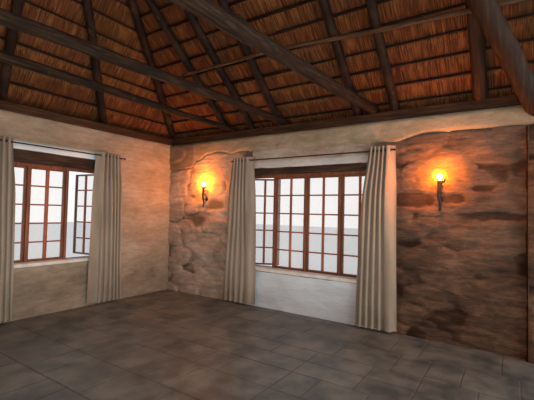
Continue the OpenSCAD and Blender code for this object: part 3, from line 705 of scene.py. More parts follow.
def side_relief(A, Z, seed):
    """Rubble with the stones and hollows that show, smooth where it is white, flat at the lamps' arms."""
    h, rel = rubble(A, Z, seed, STONE_DEPTH)
    wander = 0.09 * (fbm(A * 5, Z * 8, seed + 60, 3) - 0.5)
    for at, out in STONES:
        inside = patch(A, Z, at, wander)
        h = h + (out + 0.25 * (h - out) - h) * inside
        # Painted shadow: each stone's rim is darker on its side away from the lamps
        away = (at[1] - Z) / at[3] * (1 if at[1] < LAMP_TOP else -1)
        rel = rel + (0.8 - rel) * inside - 1.6 * inside * (1 - inside) * smooth(0.5 + 0.5 * away)
    for at, out in HOLLOWS:
        inside = patch(A, Z, at, wander)
        h = h + (out - h) * inside
        # Painted shade fills the hollows
        rel = rel + (0.1 - rel) * inside
    calm = smooth(side_pale(A, Z) * 1.3)
    h = h * (1 - 0.8 * calm)
    for x in LAMP_X:
        h = h * smooth((np.hypot(A - x, Z - FLOOR_Z - LAMP_Z - 0.45 * LAMP_H) - 0.035) / 0.04)
    h = h * (1 - smooth((Z - band_bottom(A, seed)) / 0.02)) * (1 - 0.35 * behind_curtains(A))
    return h, np.clip(rel * (1 - calm) + calm, 0, 1)


def smooth_relief(A, Z, seed, depth=PLASTER_DEPTH):
    """Plaster laid by hand."""
    coats = smooth((noise(A * 1.1, Z * 3.0, seed + 5) - 0.55) / 0.1)
    h = depth * fbm(A * 1.3, Z * 1.5, seed, 4) + 0.35 * depth * fbm(A * 7, Z * 7, seed + 3, 3) + depth * coats
    return h, 0.35 + 0.65 * fbm(A * 2, Z * 3, seed + 7, 3)


def band_relief(A, Z, seed):
    """The band hangs over the stones below it, most of all in the corner block."""
    h, rel = smooth_relief(A, Z, seed, BAND_DEPTH)
    block = 1 - smooth((A - 0.62 - 0.04 * (fbm(Z * 6, 0.5, seed, 2) - 0.5)) / 0.03)
    return 0.02 + h + 0.016 * block, rel


def band_stain(A, Z):
    """The corner block is browner than the rest of the band, with painted shade for its shadowed face."""
    return 1 - smooth((A - 0.6) / 0.12)


def end_pale(A, Z):
    return np.maximum(*(near_head(A, Z, END_WIN, at) for at in END_AT))


def end_stain(A, Z):
    """Painted shade that darkens towards the floor."""
    return 0.75 * smooth((1.1 - Z + 0.3 * (fbm(A, Z, 93, 3) - 0.5)) / 0.8)


for (sign, side), seed in zip(SIDES, (11, 23)):
    wall_sheet(side + "_wall_relief", "stone_wall", (X_IN, Y_IN), (1, 0), (0, -1), ROOM_L - PIER_L,
               RELIEF_FOOT, BAND_Z + 0.06, partial(side_relief, seed=seed), sign, holes=SIDE_HOLES,
               taper=(0, 0, 0, 0.05), pale=side_pale, stain=side_stain)
    wall_sheet(side + "_band_relief", "plaster", (X_IN, Y_IN - 0.002), (1, 0), (0, -1), ROOM_L,
               BAND_Z - 0.27, PLATE_Z, partial(band_relief, seed=seed + 50), sign,
               taper=(0, 0.03, 0, 0.03), stain=band_stain, bottom=partial(band_bottom, seed=seed))
    wall_sheet(side + "_wall_outside", "stone_wall", (X_OUT, Y_OUT), (1, 0), (0, 1), X_OPEN - X_OUT,
               0.0, OUTER_HEAD, partial(outer_relief, seed=seed + 5), sign, OUTER_CELL,
               outside(SIDE_HOLES), (0.07, 0.05, 0, 0.03), stain=partial(outer_stain, seed=seed + 5))
wall_sheet("end_wall_relief", "plastered_stone", (X_IN, Y_IN), (0, -1), (1, 0), ROOM_W, RELIEF_FOOT,
           PLATE_Z, partial(smooth_relief, seed=91), holes=END_HOLES, taper=(0, 0, 0, 0.03),
           pale=end_pale, stain=end_stain)
wall_sheet("end_wall_outside", "stone_wall", (X_OUT, Y_OUT), (0, -1), (-1, 0), 2 * Y_OUT, 0.0,
           OUTER_HEAD, partial(outer_relief, seed=37), cell=OUTER_CELL, holes=outside(END_HOLES),
           taper=(0.07, 0.07, 0, 0.03), stain=partial(outer_stain, seed=37))
# Faces of the piers: place, direction along and out, length, seed, taper at the start, and if lit
PIER_FACES = {"pier_face": ((X_OPEN - PIER_L, Y_IN - PIER_OUT), (1, 0), (0, -1), PIER_L, 61, 0.03, 1),
              "pier_side": ((X_OPEN - PIER_L, Y_IN), (0, -1), (-1, 0), PIER_OUT, 67, 0, 0),
              "wall_end": ((X_OPEN, Y_IN - PIER_OUT), (0, 1), (1, 0), WALL_T + PIER_OUT, 71, 0.03, 1)}
for sign, side in SIDES:
    for label, (origin, along, out, length, seed, taper, lit) in PIER_FACES.items():
        wall_sheet(side + "_" + label, "stone_wall", origin, along, out, length, FLOOR_Z, BAND_Z,
                   partial(pier_relief, seed=seed, lit=lit), sign, taper=(taper, 0.03, 0, 0.02),
                   stain=1.0)

# Roof poles
# Places in X are from the end wall's face, and places in U run in from a wall's face
JACK_X, COMMON_X, PRINCIPAL_X = (1.34, 1.86), (2.43, 3.7, 4.21, 5.905), 5.18
# Feet of the fan's rafters on one side, and how far from the apex each stops
FAN = ((0.42, 0.19), (1.83, 0.38))
SPROCKET_Y = (0, 0.54, -0.54, 1.12, -1.12, 1.95, -1.95, 2.53, -2.53)
EAVE_U, SPROCKET_U, CORNER_U, PRINCIPAL_U, BRACE_U = -(REACH - 0.15), -0.16, -0.19, -0.08, -0.05
PRINCIPAL_OFF, BRACE_OFF = -0.02, -0.1953
BRACE_X, BRACE_LEAN, RAFTER_TAPER = 5.7, 1.45, 0.16
# A little over the part's rafters at their feet, as they taper over their greater length
HIP_RAFTER_D, HIP_RAFTER_TAPER = 0.115, 0.12


def slope_point(x, u, sign, off=0.0):
    """Point on a long slope, x from the end wall's face and u in from the long wall's."""
    return (X_IN + x, sign * (Y_IN - u), side_height(u, off))


for sign, side in SIDES:
    heap = Heap()
    for places, seed, wobble in ((COMMON_X, 100, 0.022), (JACK_X, 140, 0.018)):
        for k, x in enumerate(places):
            foot, head = (slope_point(x, u, sign) for u in (EAVE_U, min(Y_IN, x / HIP_RUN * Y_IN)))
            natural_pole(heap, foot, head, RAFTER_D, seed + 7 * k + sign, wobble, taper=RAFTER_TAPER)
    heap.piece(side + "_natural_rafters", "dark_pole", side + "_rafters")

# The other poles: name of the piece, material and replaced node
POLES = (("end_natural_rafters", "dark_pole", "end_rafters"),
         ("natural_hip_rafters", "dark_pole", "hip_rafters"),
         ("natural_sprockets", "dark_pole", "eave_sprockets"),
         ("natural_principals", "brown_pole", "principal_rafters"),
         ("natural_braces", "brown_pole", "diagonal_braces"),
         ("natural_purlins", "pale_pole", "purlins"),
         ("natural_ridge_pole", "dark_pole", "ridge_pole"))
heaps = [Heap() for _ in POLES]
fan, hips, sprockets, principals, braces, purlins, ridge = heaps
for sign, side in SIDES:
    for k, (y, stop) in enumerate(FAN):
        foot = np.array([X_IN, sign * y, RAFTER_Z])
        run = (APEX - foot) / np.linalg.norm(APEX - foot)
        natural_pole(fan, foot - 0.05 * run, APEX - stop * run, RAFTER_D, 160 + 5 * k + sign, 0.016,
                     taper=RAFTER_TAPER)
    natural_pole(hips, (X_IN, sign * Y_IN, RAFTER_Z), APEX, HIP_RAFTER_D, 180 + sign, 0.016,
                 taper=HIP_RAFTER_TAPER)
    foot, head = (slope_point(PRINCIPAL_X, u, sign, PRINCIPAL_OFF) for u in (PRINCIPAL_U, Y_IN))
    natural_pole(principals, foot, head, PRINCIPAL_D, 230 + sign, 0.02, 18)
    foot, head = (slope_point(BRACE_X - BRACE_LEAN * u / Y_IN, u, sign, BRACE_OFF) for u in (BRACE_U, Y_IN))
    natural_pole(braces, foot, head, BRACE_D, 240 + sign, 0.02, 22, rough=0.04)
for k, y in enumerate(SPROCKET_Y):
    head, foot = ((X_IN + u, y, side_height(u)) for u in (SPROCKET_U, EAVE_U))
    natural_pole(sprockets, head, foot, RAFTER_D, 200 + k, 0.008)
for sign, side in SIDES:
    head, foot = ((X_IN + u, sign * (Y_IN - u), side_height(u)) for u in (CORNER_U, EAVE_U))
    natural_pole(sprockets, head, foot, RAFTER_D, 220 + sign, 0.006)
RIDGE_DROP = np.array([0, 0, -0.15])
natural_pole(ridge, APEX + (0.02, 0, 0) + RIDGE_DROP, (X_OPEN, 0, APEX[2]) + RIDGE_DROP, RIDGE_POLE_D,
             260, 0.01, 16)
# Purlins fall towards the open end, and each bends a little on its way
PURLIN_X, PURLIN_Z, PURLIN_OFF = (1.23, 5.98), (0.88, 0.78), -0.0828
PURLIN_BEND = ((0.0, -0.03), (0.3, 0.03), (0.42, 0.035), (0.62, 0.0), (0.85, -0.012), (1.0, 0.0))
t = np.linspace(0, 1, 70)
for sign, side in SIDES:
    z = PLATE_Z + PURLIN_Z[0] + (PURLIN_Z[1] - PURLIN_Z[0]) * t
    y = Y_IN - (z - side_height(0, PURLIN_OFF)) / TAN_S
    z = z + np.interp(t, *zip(*PURLIN_BEND)) + 0.008 * (noise(t * 9, sign, 250) - 0.5)
    path = np.stack([X_IN + PURLIN_X[0] + (PURLIN_X[1] - PURLIN_X[0]) * t, sign * y, z], -1)
    tube(purlins, path, PURLIN_D / 2 * (0.8 + 0.25 * t + 0.1 * (noise(t * 25, 3, 251 + sign) - 0.5)), 12)
for heap, (name, material, node) in zip(heaps, POLES):
    heap.piece(name, material, node)

# Tie beams: place, left end's skew, thickness, bow, seed, and how much thicker the right end is
TIES = ((1.5, 0.0, 0.1, 0.0, 301, 0.0), (2.545, 0.45, 0.12, 0.02, 305, -0.05),
        (3.92, 0.62, 0.14, 0.035, 311, 0.12))
TIE_SIDES, TIE_BEARING, TIE_SPAN = 22, 0.07, 6.7
# The third tie's big knot: share of the tie's length, angle round it, and share of its thickness
BIG_KNOT = (0.6, -math.pi / 2, 0.42)
t = np.linspace(0, 1, 110)
hump = np.sin(math.pi * t)
theta = around(TIE_SIDES)
for k, (x, skew, d, bow, seed, butt) in enumerate(TIES):
    sway = 0.05 * (fbm(t * 6, seed + 2, seed + 2) - 0.5) * hump ** 0.5
    bend = 0.022 * (fbm(t * 7, seed, seed) - 0.5) * hump ** 0.5
    path = np.stack([X_IN + x + (t - 1) * skew + sway, (2 * t - 1) * (Y_IN + TIE_BEARING),
                     PLATE_TOP + 0.39 * d + bow * hump + bend], -1)
    skin = noise(t[:, None] * 40, np.cos(theta) * 2 + np.sin(theta), seed)
    radius = d / 2 * ((0.8 + 0.2 * hump) * (1 + butt * (2 * t - 1)))[:, None] * (1 + 0.1 * (skin - 0.5))
    rng = np.random.default_rng(seed)
    knots = [(rng.uniform(0.1, 0.92), rng.uniform(0, 2 * math.pi), rng.uniform(0.08, 0.22))
             for _ in range(7)]
    for *at, high in knots + ([BIG_KNOT] if k == 2 else []):
        radius = radius + high * d * knot(t, theta, at, (0.4 * d / TIE_SPAN, 0.45))
    heap = Heap()
    tube(heap, path, radius, TIE_SIDES)
    heap.piece("natural_tie_%d" % (k + 1), "log", "tie_beam_%d" % (k + 1))

# Battens
SIDE_STEP, END_STEP = BATTEN_PITCH * COS_S, BATTEN_PITCH * COS_E
SIDE_FIRST, END_FIRST, TOP_GAP = 0.135, 0.03, 0.06
side_rows = [SIDE_FIRST + k * SIDE_STEP for k in range(-4, 16)]
side_rows = [u for u in side_rows if u <= Y_IN - TOP_GAP]
end_rows = [END_FIRST - k * SIDE_STEP for k in (3, 2, 1)] + [END_FIRST + k * END_STEP for k in range(13)]
end_rows = [u for u in end_rows if u <= HIP_RUN - TOP_GAP]
LATH = dict(wobble=0.008, sides=6, step=0.12, taper=0.3, knots=0, rough=0.08)


def batten_row(heap, a, b, seed):
    """One row in lapped lengths, in places doubled by a thinner one."""
    a, b = np.asarray(a, float), np.asarray(b, float)
    length = np.linalg.norm(b - a)
    rng = np.random.default_rng(seed)
    parts = max(1, int(length / 2.4))
    cuts = np.linspace(0, 1, parts + 1)
    cuts[1:-1] += rng.uniform(-0.05, 0.05, parts - 1)
    for k in range(parts):
        shift = (0, 0, rng.uniform(-0.006, 0.006))
        natural_pole(heap, a + (b - a) * max(0, cuts[k] - 0.02) + shift,
                     a + (b - a) * min(1, cuts[k + 1] + 0.02) + shift,
                     BATTEN_D * rng.uniform(0.72, 1.0), seed * 3 + k, **LATH)
    if rng.uniform() < 0.4 and length > 1.5:
        start = rng.uniform(0.05, 0.5)
        stop = min(1, start + rng.uniform(0.25, 0.5))
        down = (0, 0, -0.022)
        natural_pole(heap, a + (b - a) * start + down, a + (b - a) * stop + down, BATTEN_D * 0.7,
                     seed * 5 + 2, **LATH)


for sign, side in SIDES:
    heap = Heap()
    for k, u in enumerate(side_rows):
        x0 = X_IN + float(hip_start(u, BATTEN_OFF))
        y, z = sign * (Y_IN - u), side_height(u, BATTEN_OFF)
        batten_row(heap, (x0, y, z), (X_OPEN + VERGE - 0.02, y, z), 400 + 3 * k + (sign + 1) * 40)
    heap.piece(side + "_batten_poles", "batten", side + "_battens")
heap = Heap()
for k, u in enumerate(end_rows):
    half, z = Y_IN - hip_rise(u, BATTEN_OFF), end_height(u, BATTEN_OFF)
    batten_row(heap, (X_IN + u, -half, z), (X_IN + u, half, z), 560 + 3 * k)
heap.piece("end_batten_poles", "batten", "end_battens")


# Thatch
class Slope:
    """The reed of one slope. u runs in from the wall's face, and x along the eave."""
    FOOT = -REACH
    # How far up each gap between two battens a line of the underside lies, and how much it sags there
    SAG = ((0.0, 0.1), (0.18, 0.75), (0.55, 1.0), (0.88, 0.7))

    def __init__(self, name, sign, seed):
        self.name, self.sign, self.seed, self.end = name, sign, seed, name == "end"
        self.rng = np.random.default_rng(seed + 9)
        self.rows = end_rows if self.end else side_rows
        self.first = -(Y_IN + REACH) if self.end else -REACH
        self.last = Y_IN + REACH if self.end else X_OPEN + VERGE - X_IN
        self.flip = self.end or sign < 0
        self.kind = "_end" if self.end else "_side"

    def columns(self, step):
        return int((self.last - self.first) / step)

    def head(self, off):
        return apex(off) if self.end else Y_IN

    def limit(self, x, off):
        """Where each stem's line meets the hip or the ridge."""
        return hip_start(Y_IN - np.abs(x), off) if self.end else hip_rise(x, off)

    def place(self, u, x, off, lift):
        """Point on the slope, lifted off its surface by lift."""
        if not self.end:
            y = self.sign * (Y_IN - u + lift * TAN_S * COS_S)
            return np.stack([X_IN + x + 0 * u, y, side_height(u, off) + lift * COS_S], -1)
        tan = np.where(u < bell(off), TAN_S, TAN_E)
        cos = 1 / np.sqrt(1 + tan * tan)
        return np.stack([X_IN + u - lift * tan * cos, x + 0 * u, end_height(u, off) + lift * cos], -1)

    def grid(self, us, xs, off, flip):
        """Grid that stops at the hips and the ridge: wanted and real u, x, and faces."""
        U, X = np.meshgrid(us, xs, indexing="ij")
        limit = self.limit(X, off)
        cut = U >= limit
        keep = ~(cut[:-1, :-1] & cut[:-1, 1:])
        return U, np.minimum(U, limit), X, grid_faces(len(us), len(xs), keep, flip)

    def blades(self, heap, u, x, off, lift, pale):
        """Loose stems, three points each."""
        points = self.place(u, x, off, lift)
        faces = np.arange(u.size).reshape(-1, 3)
        heap.add(points, faces if self.flip else faces[:, ::-1], relief=1.0, pale=np.tile(pale, len(u)))

    def underside(self):
        """Ribbed underside that sags between the battens, with stem ends that hang from each."""
        heap, seed, rng = Heap(), self.seed, self.rng
        marks = [self.FOOT + 0.004] + self.rows + [self.head(THATCH_OFF)]
        us = [p + f * (q - p) for p, q in zip(marks, marks[1:]) for f, _ in self.SAG] + [marks[-1]]
        sag = [amount for _ in marks[1:] for _, amount in self.SAG] + [0.1]
        xs = np.linspace(self.first, self.last, self.columns(0.0145))
        U, V, X, faces = self.grid(us, xs, THATCH_OFF, not self.flip)
        S = np.repeat(np.array(sag)[:, None], len(xs), 1)
        stems = noise(X * 60, U * 1.5, seed) - 0.5
        rib = 0.0035 * np.where(np.arange(len(xs)) % 2 == 0, 1, -1) + 0.005 * stems
        lift = -(0.004 + S * (0.006 + 0.010 * fbm(X * 7, U * 5, seed + 2, 3)) + rib)
        # Painted shade darkens the reed along each batten, where it sags least, and between the stems
        heap.add(self.place(V, X, THATCH_OFF, lift), faces, relief=0.35 + 0.65 * S * (0.6 + 0.8 * stems),
                 pale=0.5 * smooth((noise(X * 16, U * 3, seed + 5) - 0.55) / 0.2) * S)
        tips = []
        for u in self.rows:
            share = 0.25 + 0.75 * smooth((noise(xs * 1.7, u * 3, seed + 12) - 0.35) / 0.25)
            pick = xs[rng.uniform(size=len(xs)) < share]
            for x in pick[self.limit(pick, THATCH_OFF) > u + 0.01]:
                long, wide = rng.uniform(0.02, 0.07), rng.uniform(0.004, 0.009)
                hang, lean = rng.uniform(0.012, 0.032), rng.uniform(-0.012, 0.012)
                top = u - 0.018
                tips.append([(top, x - wide, 0.022), (top, x + wide, 0.022),
                             (top - long, x + lean, 0.014 + hang)])
        tips = np.array(tips)
        self.blades(heap, tips[..., 0], tips[..., 1], THATCH_OFF, -tips[..., 2], (0.3, 0.3, 1.0))
        heap.piece(self.name + "_reed_underside", "thatch" + self.kind, slot="thatch")

    def top(self, count=7000):
        """Combed upper face with loose stems."""
        heap, seed, rng = Heap(), self.seed, self.rng
        us = np.linspace(self.FOOT, self.head(TOP_OFF), 52)
        xs = np.linspace(self.first, self.last, self.columns(0.05))
        U, V, X, faces = self.grid(us, xs, TOP_OFF, self.flip)
        edge = smooth((U - self.FOOT) / 0.15)
        if not self.end:
            edge = np.minimum(edge, smooth((self.last - X) / 0.12))
        lift = 0.004 + 0.02 * fbm(X * 3, U * 2.5, seed + 20, 4) * edge - 0.006 * (1 - edge)
        heap.add(self.place(V, X, TOP_OFF, lift), faces, pale=0.0,
                 relief=0.45 + 0.55 * fbm(X * 5, U * 5, seed + 22))
        u = rng.uniform(self.FOOT + 0.02, self.head(THATCH_OFF) - 0.12, count)
        x = rng.uniform(self.first + 0.03, self.last - 0.03, count)
        ok = self.limit(x, TOP_OFF) > u + 0.12
        u, x = u[ok], x[ok]
        long, wide = rng.uniform(0.06, 0.16, len(u)), rng.uniform(0.0025, 0.005, len(u))
        lean, rise = rng.uniform(-0.01, 0.01, len(u)), rng.uniform(0.018, 0.034, len(u))
        root = np.full(len(u), 0.01)
        self.blades(heap, np.stack([u + long, u + long, u], -1), np.stack([x - wide, x + wide, x + lean], -1),
                    TOP_OFF, np.stack([root, root, rise], -1), (0.2, 0.2, 0.8))
        heap.piece(self.name + "_reed_top", "worn" + self.kind, slot="thatch")

    def eave(self, step=0.016, layers=16):
        """Cut stem ends along the eave."""
        heap, seed = Heap(), self.seed
        xs = np.linspace(self.first + 0.004, self.last - 0.002, self.columns(step))
        z0 = side_height(self.FOOT, THATCH_OFF) - 0.012
        z1 = side_height(self.FOOT, TOP_OFF) + 0.008
        Z, X = np.meshgrid(np.linspace(z0, z1, layers + 1), xs, indexing="ij")
        out = 0.002 + 0.016 * hash2(np.round(X / step), np.round((Z - z0) / (z1 - z0) * layers), seed + 30)
        out *= smooth((Z - z0) / 0.02) * smooth((z1 - Z) / 0.03) * 0.9 + 0.1
        far = REACH + out
        points = [X_IN - far, X, Z] if self.end else [X_IN + X, self.sign * (Y_IN + far), Z]
        # Painted shade darkens the stem ends that are set back
        heap.add(np.stack(points, -1), grid_faces(layers + 1, len(xs), None, self.flip),
                 relief=0.2 + 0.8 * out / 0.018, pale=0.5 * noise(X * 20, Z * 20, seed))
        heap.piece(self.name + "_eave_ends", "worn" + self.kind, slot="thatch")


for slope in (Slope("right", 1, 701), Slope("left", -1, 733), Slope("end", 1, 757)):
    slope.underside()
    slope.top()
    slope.eave()

# Reed laid over each hip, rounded, half of it on each slope
HIP_ARM, HIP_LIFT = (0.0, 0.04, 0.09, 0.14, 0.19, 0.24), (0.012, 0.026, 0.03, 0.024, 0.014, 0.0)
hip_x = np.linspace(-REACH, apex(TOP_OFF), 130)
hip_u = hip_rise(hip_x, TOP_OFF)
arms, steps = np.meshgrid(HIP_ARM, hip_u)
lift = np.array(HIP_LIFT) * (0.85 + 0.4 * fbm(steps * 6, arms * 8, 790, 3))
# No arm crosses the ridge's line
arms = np.minimum(arms, Y_IN - steps)
relief = 0.5 + 0.5 * fbm(steps * 8, arms * 30, 791)
for kind, along_x, along_y in (("_side", arms, 0), ("_end", 0, arms)):
    heap = Heap()
    for sign, side in SIDES:
        x = X_IN + hip_x[:, None] - 0.5 * lift + along_x
        y = sign * (Y_IN - steps + 0.5 * lift - along_y)
        z = side_height(steps, TOP_OFF) + 0.7 * lift
        faces = grid_faces(len(hip_u), len(HIP_ARM), None, (sign > 0) == (kind == "_side"))
        heap.add(np.stack([x, y, z], -1), faces, relief=relief)
    heap.piece("hip_reeds" + kind, "worn" + kind, slot="thatch")

# Trimmed reed in its layers along the verge at the open end
heap = Heap()
us, offs = np.linspace(-REACH, Y_IN, 280), np.linspace(THATCH_OFF + 0.002, TOP_OFF + 0.004, 13)
U, off = np.meshgrid(us, offs, indexing="ij")
for sign, side in SIDES:
    out = 0.001 + 0.011 * noise(U * 5, off * 90, 795 + sign) + 0.004 * noise(U * 60, off * 60, 797)
    points = np.stack([X_OPEN + VERGE + out, sign * (Y_IN - U), side_height(U, off)], -1)
    # Painted shade darkens the reed ends that are set back
    heap.add(points, grid_faces(len(us), len(offs), None, sign < 0), relief=0.15 + 60 * out,
             pale=0.5 * noise(U * 20, off * 70, 799))
heap.piece("verge_reeds", "worn_end", slot="thatch")


# Windows
def window_place(win, at_end, sign):
    """Turns a window's own place into the frame: a along the wall from the window's side next to the
    corner, b outward from the wall's face, c above the floor."""
    def put(a, b, c):
        if at_end:
            return np.array([X_IN - b, sign * (Y_IN - win["a"] - a), FLOOR_Z + c])
        return np.array([X_IN + win["a"] + a, sign * (Y_IN + b), FLOOR_Z + c])
    return put


WINDOWS = [(win, at_end, sign, side) for win, at_end in ((SIDE_WIN, False), (END_WIN, True))
           for sign, side in SIDES]
PANE_ROWS, BAR_IN = 5, SASH_B - 0.004
# Width and depth of a sash's upright bar and of its level ones, and width of the wide upright bars
UPRIGHT_W, UPRIGHT_D, LEVEL_W, LEVEL_D, WIDE_W = 0.038, 0.028, 0.021, 0.025, 0.05
bars = Heap()
for win, at_end, sign, side in WINDOWS:
    put = window_place(win, at_end, sign)
    bay = (win["w"] - 2 * FRAME_B - (win["n"] - 1) * MULLION_B) / win["n"]
    high = win["h"] - 2 * FRAME_B
    for i in range(win["n"]):
        turn = 0.0 if i else (END_OPEN if at_end else SIDE_OPEN)
        hinge = np.array([FRAME_B + i * (bay + MULLION_B), FRAME_IN + FRAME_T])
        run = np.array([math.cos(turn), math.sin(turn)])
        back = np.array([math.sin(turn), -math.cos(turn)]) * SASH_T / 2

        def spot(a, c):
            """Point in the middle of a sash's thickness, a from its hinge and c above its foot."""
            return put(*(hinge + run * a + back), win["z"] + FRAME_B + c)

        width = WIDE_W if at_end and i == 1 else UPRIGHT_W
        bevel_bar(bars, spot(bay / 2, BAR_IN), spot(bay / 2, high - BAR_IN), width, UPRIGHT_D,
                  spot(1, 0) - spot(0, 0), 0.006)
        for j in range(1, PANE_ROWS):
            c = high * j / PANE_ROWS
            bevel_bar(bars, spot(BAR_IN, c), spot(bay - BAR_IN, c), LEVEL_W, LEVEL_D, (0, 0, 1), 0.004)
bars.piece("glazing_bars", "bar_timber", slot="window_timber", flat=True)

# Curtains
CLOTH_FLAT = (0.9, 2.362)
CLOTH_TOP = ROD_Z + 0.055
FOLDS, FOLD_ROUND = 5.25, 0.055
# Share of the width and count of folds where the last wide fold starts
LAST_FOLD = (0.72, 4.75)
EYELET_R, EYELET_WIRE_R = 0.019, 0.0028


def fold_height(ratio):
    """Height of a fold, as a share of its width, that takes up ratio times its width of cloth."""
    lo, hi = 0.0, 3.0
    s = np.linspace(0, 1, 400)
    across = s - FOLD_ROUND * np.sin(4 * math.pi * s)
    for _ in range(30):
        mid = (lo + hi) / 2
        arc = np.sum(np.hypot(np.diff(across), np.diff(mid * np.sin(2 * math.pi * s))))
        lo, hi = (mid, hi) if arc < ratio else (lo, mid)
    return lo


RATIOS = np.linspace(1.02, 3.4, 60)
HEIGHTS = np.array([fold_height(ratio) for ratio in RATIOS])


def curtain(name, put, head, foot, replaces, seed):
    """Gathered linen on eyelets along its rod. head and foot are its two edges, top and bottom."""
    cols, rows = 160, 46
    S, D = np.meshgrid(np.linspace(0, 1, cols), np.linspace(0, 1, rows))
    open_out = 0.35 * smooth(D / 0.3) + 0.65 * D
    left = head[0] + (foot[0] - head[0]) * open_out
    right = head[1] + (foot[1] - head[1]) * open_out
    width = right - left
    deep = np.interp(CLOTH_FLAT[0] / width, RATIOS, HEIGHTS) * width / FOLDS
    wander = 0.9 * (noise(S * 3 + seed, D * 1.3, seed) - 0.5) * smooth(D * 2.5)
    count = np.interp(S, (0.0, LAST_FOLD[0], 1.0), (0.0, LAST_FOLD[1], FOLDS))
    phase = 2 * math.pi * (count + wander * smooth((1 - S) / 0.2))
    b = -ROD_OFF + deep * (0.94 + 0.1 * (noise(S * 5, D * 2, seed + 3) - 0.5)) * np.sin(phase)
    sway = 0.02 * (noise(D * 1.8, seed, seed) - 0.5) * smooth(D * 2)
    a = left + S * width - FOLD_ROUND * width / FOLDS * np.sin(2 * phase) + sway
    c = CLOTH_TOP - D * CLOTH_FLAT[1] + 0.004 * np.sin(phase) * (D > 0.99)
    heap = Heap()
    heap.add([put(*place) for place in zip(a.ravel(), b.ravel(), c.ravel())], grid_faces(rows, cols))
    obj = heap.piece(name, "curtain_cloth", replaces)


# Edges of each window's two curtains, along the wall from the window's corner-side edge
SIDE_SPANS = (((-0.089, 0.323), (-0.235, 0.42)), ((2.222, 2.56), (2.06, 2.6)))
END_SPANS = (((-0.146, 0.26), (-0.235, 0.33)), ((1.426, 1.836), (1.35, 1.885)))
eyelets = Heap()
turns = np.linspace(0, 2 * math.pi, 17)
for win, at_end, sign, side in WINDOWS:
    put = window_place(win, at_end, sign)
    label, group = ("end_" + side, "end_curtains") if at_end else (side, side + "_curtains")
    for k, (head, foot) in enumerate(END_SPANS if at_end else SIDE_SPANS):
        seed = 800 + 11 * k + (3 if at_end else 0) + (50 if sign < 0 else 0)
        curtain("%s_curtain_%d" % (label, k + 1), put, head, foot, group, seed)
        for j in range(1, int(2 * FOLDS)):
            a = head[0] + (head[1] - head[0]) * j / (2 * FOLDS)
            path = [put(a + 0.003 * math.cos(turn), EYELET_R * math.cos(turn) - ROD_OFF,
                        ROD_Z + EYELET_R * math.sin(turn)) for turn in turns]
            tube(eyelets, path, EYELET_WIRE_R, 6, hint=put(1, 0, 0) - put(0, 0, 0))
eyelets.piece("curtain_eyelets", "black_iron")

# Wall lamps
CUP = np.array([(0.0, 0.021), (0.004, 0.026), (0.012, 0.025), (0.03, 0.029), (0.04, 0.031), (0.043, 0.028)])
PRONG_R, ARM_Z = 0.047, 0.45 * LAMP_H


def lamp(heap, base, sign):
    """Forged stem that curls to its foot, a cup, a leaf-like prong beside it, an arm and a wall plate."""
    t = np.linspace(0, 1, 30)
    curl = 0.014 * np.sin(2.4 * math.pi * t) * (1 - t) ** 0.5
    thick = 0.009 + 0.014 * t ** 0.8 + 0.002 * np.sin(30 * t)
    tube(heap, base + np.stack([curl, 0 * t, LAMP_H * t], -1), thick, 14)
    tube(heap, base + CUP[:, :1] * (0, 0, 1) + (0, 0, LAMP_H), CUP[:, 1], 20)
    bend = np.radians(np.linspace(-75, 22, 18))
    rise = LAMP_H + 0.062 + 1.3 * PRONG_R * np.sin(bend)
    path = np.stack([0.008 + PRONG_R * np.cos(bend), 0 * bend, rise], -1)
    tube(heap, base + path, np.interp(np.linspace(0, 1, 18), [0, 0.6, 1], [0.008, 0.016, 0.005]), 10)
    tube(heap, [base + (0, 0, ARM_Z), base + (0, sign * (LAMP_OFF - 0.007), ARM_Z)], 0.006, 10)
    plate = base + (0, sign * LAMP_OFF, ARM_Z)
    tube(heap, [plate - (0, sign * out, 0) for out in (0.0005, 0.006, 0.009)], (0.03, 0.03, 0.024), 28)


irons = Heap()
for sign, side in SIDES:
    for x in LAMP_X:
        lamp(irons, np.array([X_IN + x, sign * (Y_IN - LAMP_OFF), FLOOR_Z + LAMP_Z]), sign)
irons.piece("lamp_irons", "black_iron", "lamp_brackets")

# Flagstones, each a bevelled slab
MARGIN, JOINT, BEVEL = 0.004, 0.008, 0.006
SLAB_FACES = [[4 * row + k, 4 * row + (k + 1) % 4, 4 * row + 4 + (k + 1) % 4, 4 * row + 4 + k]
              for row in range(2) for k in range(4)] + [[8, 9, 10, 11]]


def corners(x0, x1, y0, y1, z, inset=0.0):
    """Corners of a level rectangle whose edges are moved in by inset."""
    x0, x1, y0, y1 = x0 + inset, x1 - inset, y0 + inset, y1 - inset
    return [(x0, y0, z), (x1, y0, z), (x1, y1, z), (x0, y1, z)]


heap = Heap()
rng = np.random.default_rng(5)
y = -Y_IN + MARGIN
while y < Y_IN - 0.02:
    deep = min(rng.choice([0.3, 0.4, 0.5]), Y_IN - MARGIN - y)
    x = X_IN + MARGIN
    while x < X_OPEN - 0.02:
        wide = min(rng.choice([0.3, 0.45, 0.6, 0.75]), X_OPEN - MARGIN - x)
        if X_OPEN - MARGIN - x - wide < 0.15:
            wide = X_OPEN - MARGIN - x
        z = FLOOR_Z + 0.0025 + rng.uniform(-0.001, 0.001)
        edges = (x + JOINT / 2, x + wide - JOINT / 2, y + JOINT / 2, y + deep - JOINT / 2)
        rings = corners(*edges, FLOOR_Z - 0.002), corners(*edges, z - 0.002), corners(*edges, z, BEVEL)
        heap.add(rings, SLAB_FACES)
        x += wide
    y += deep
heap.piece("flagstones", "stone_floor", flat=True)

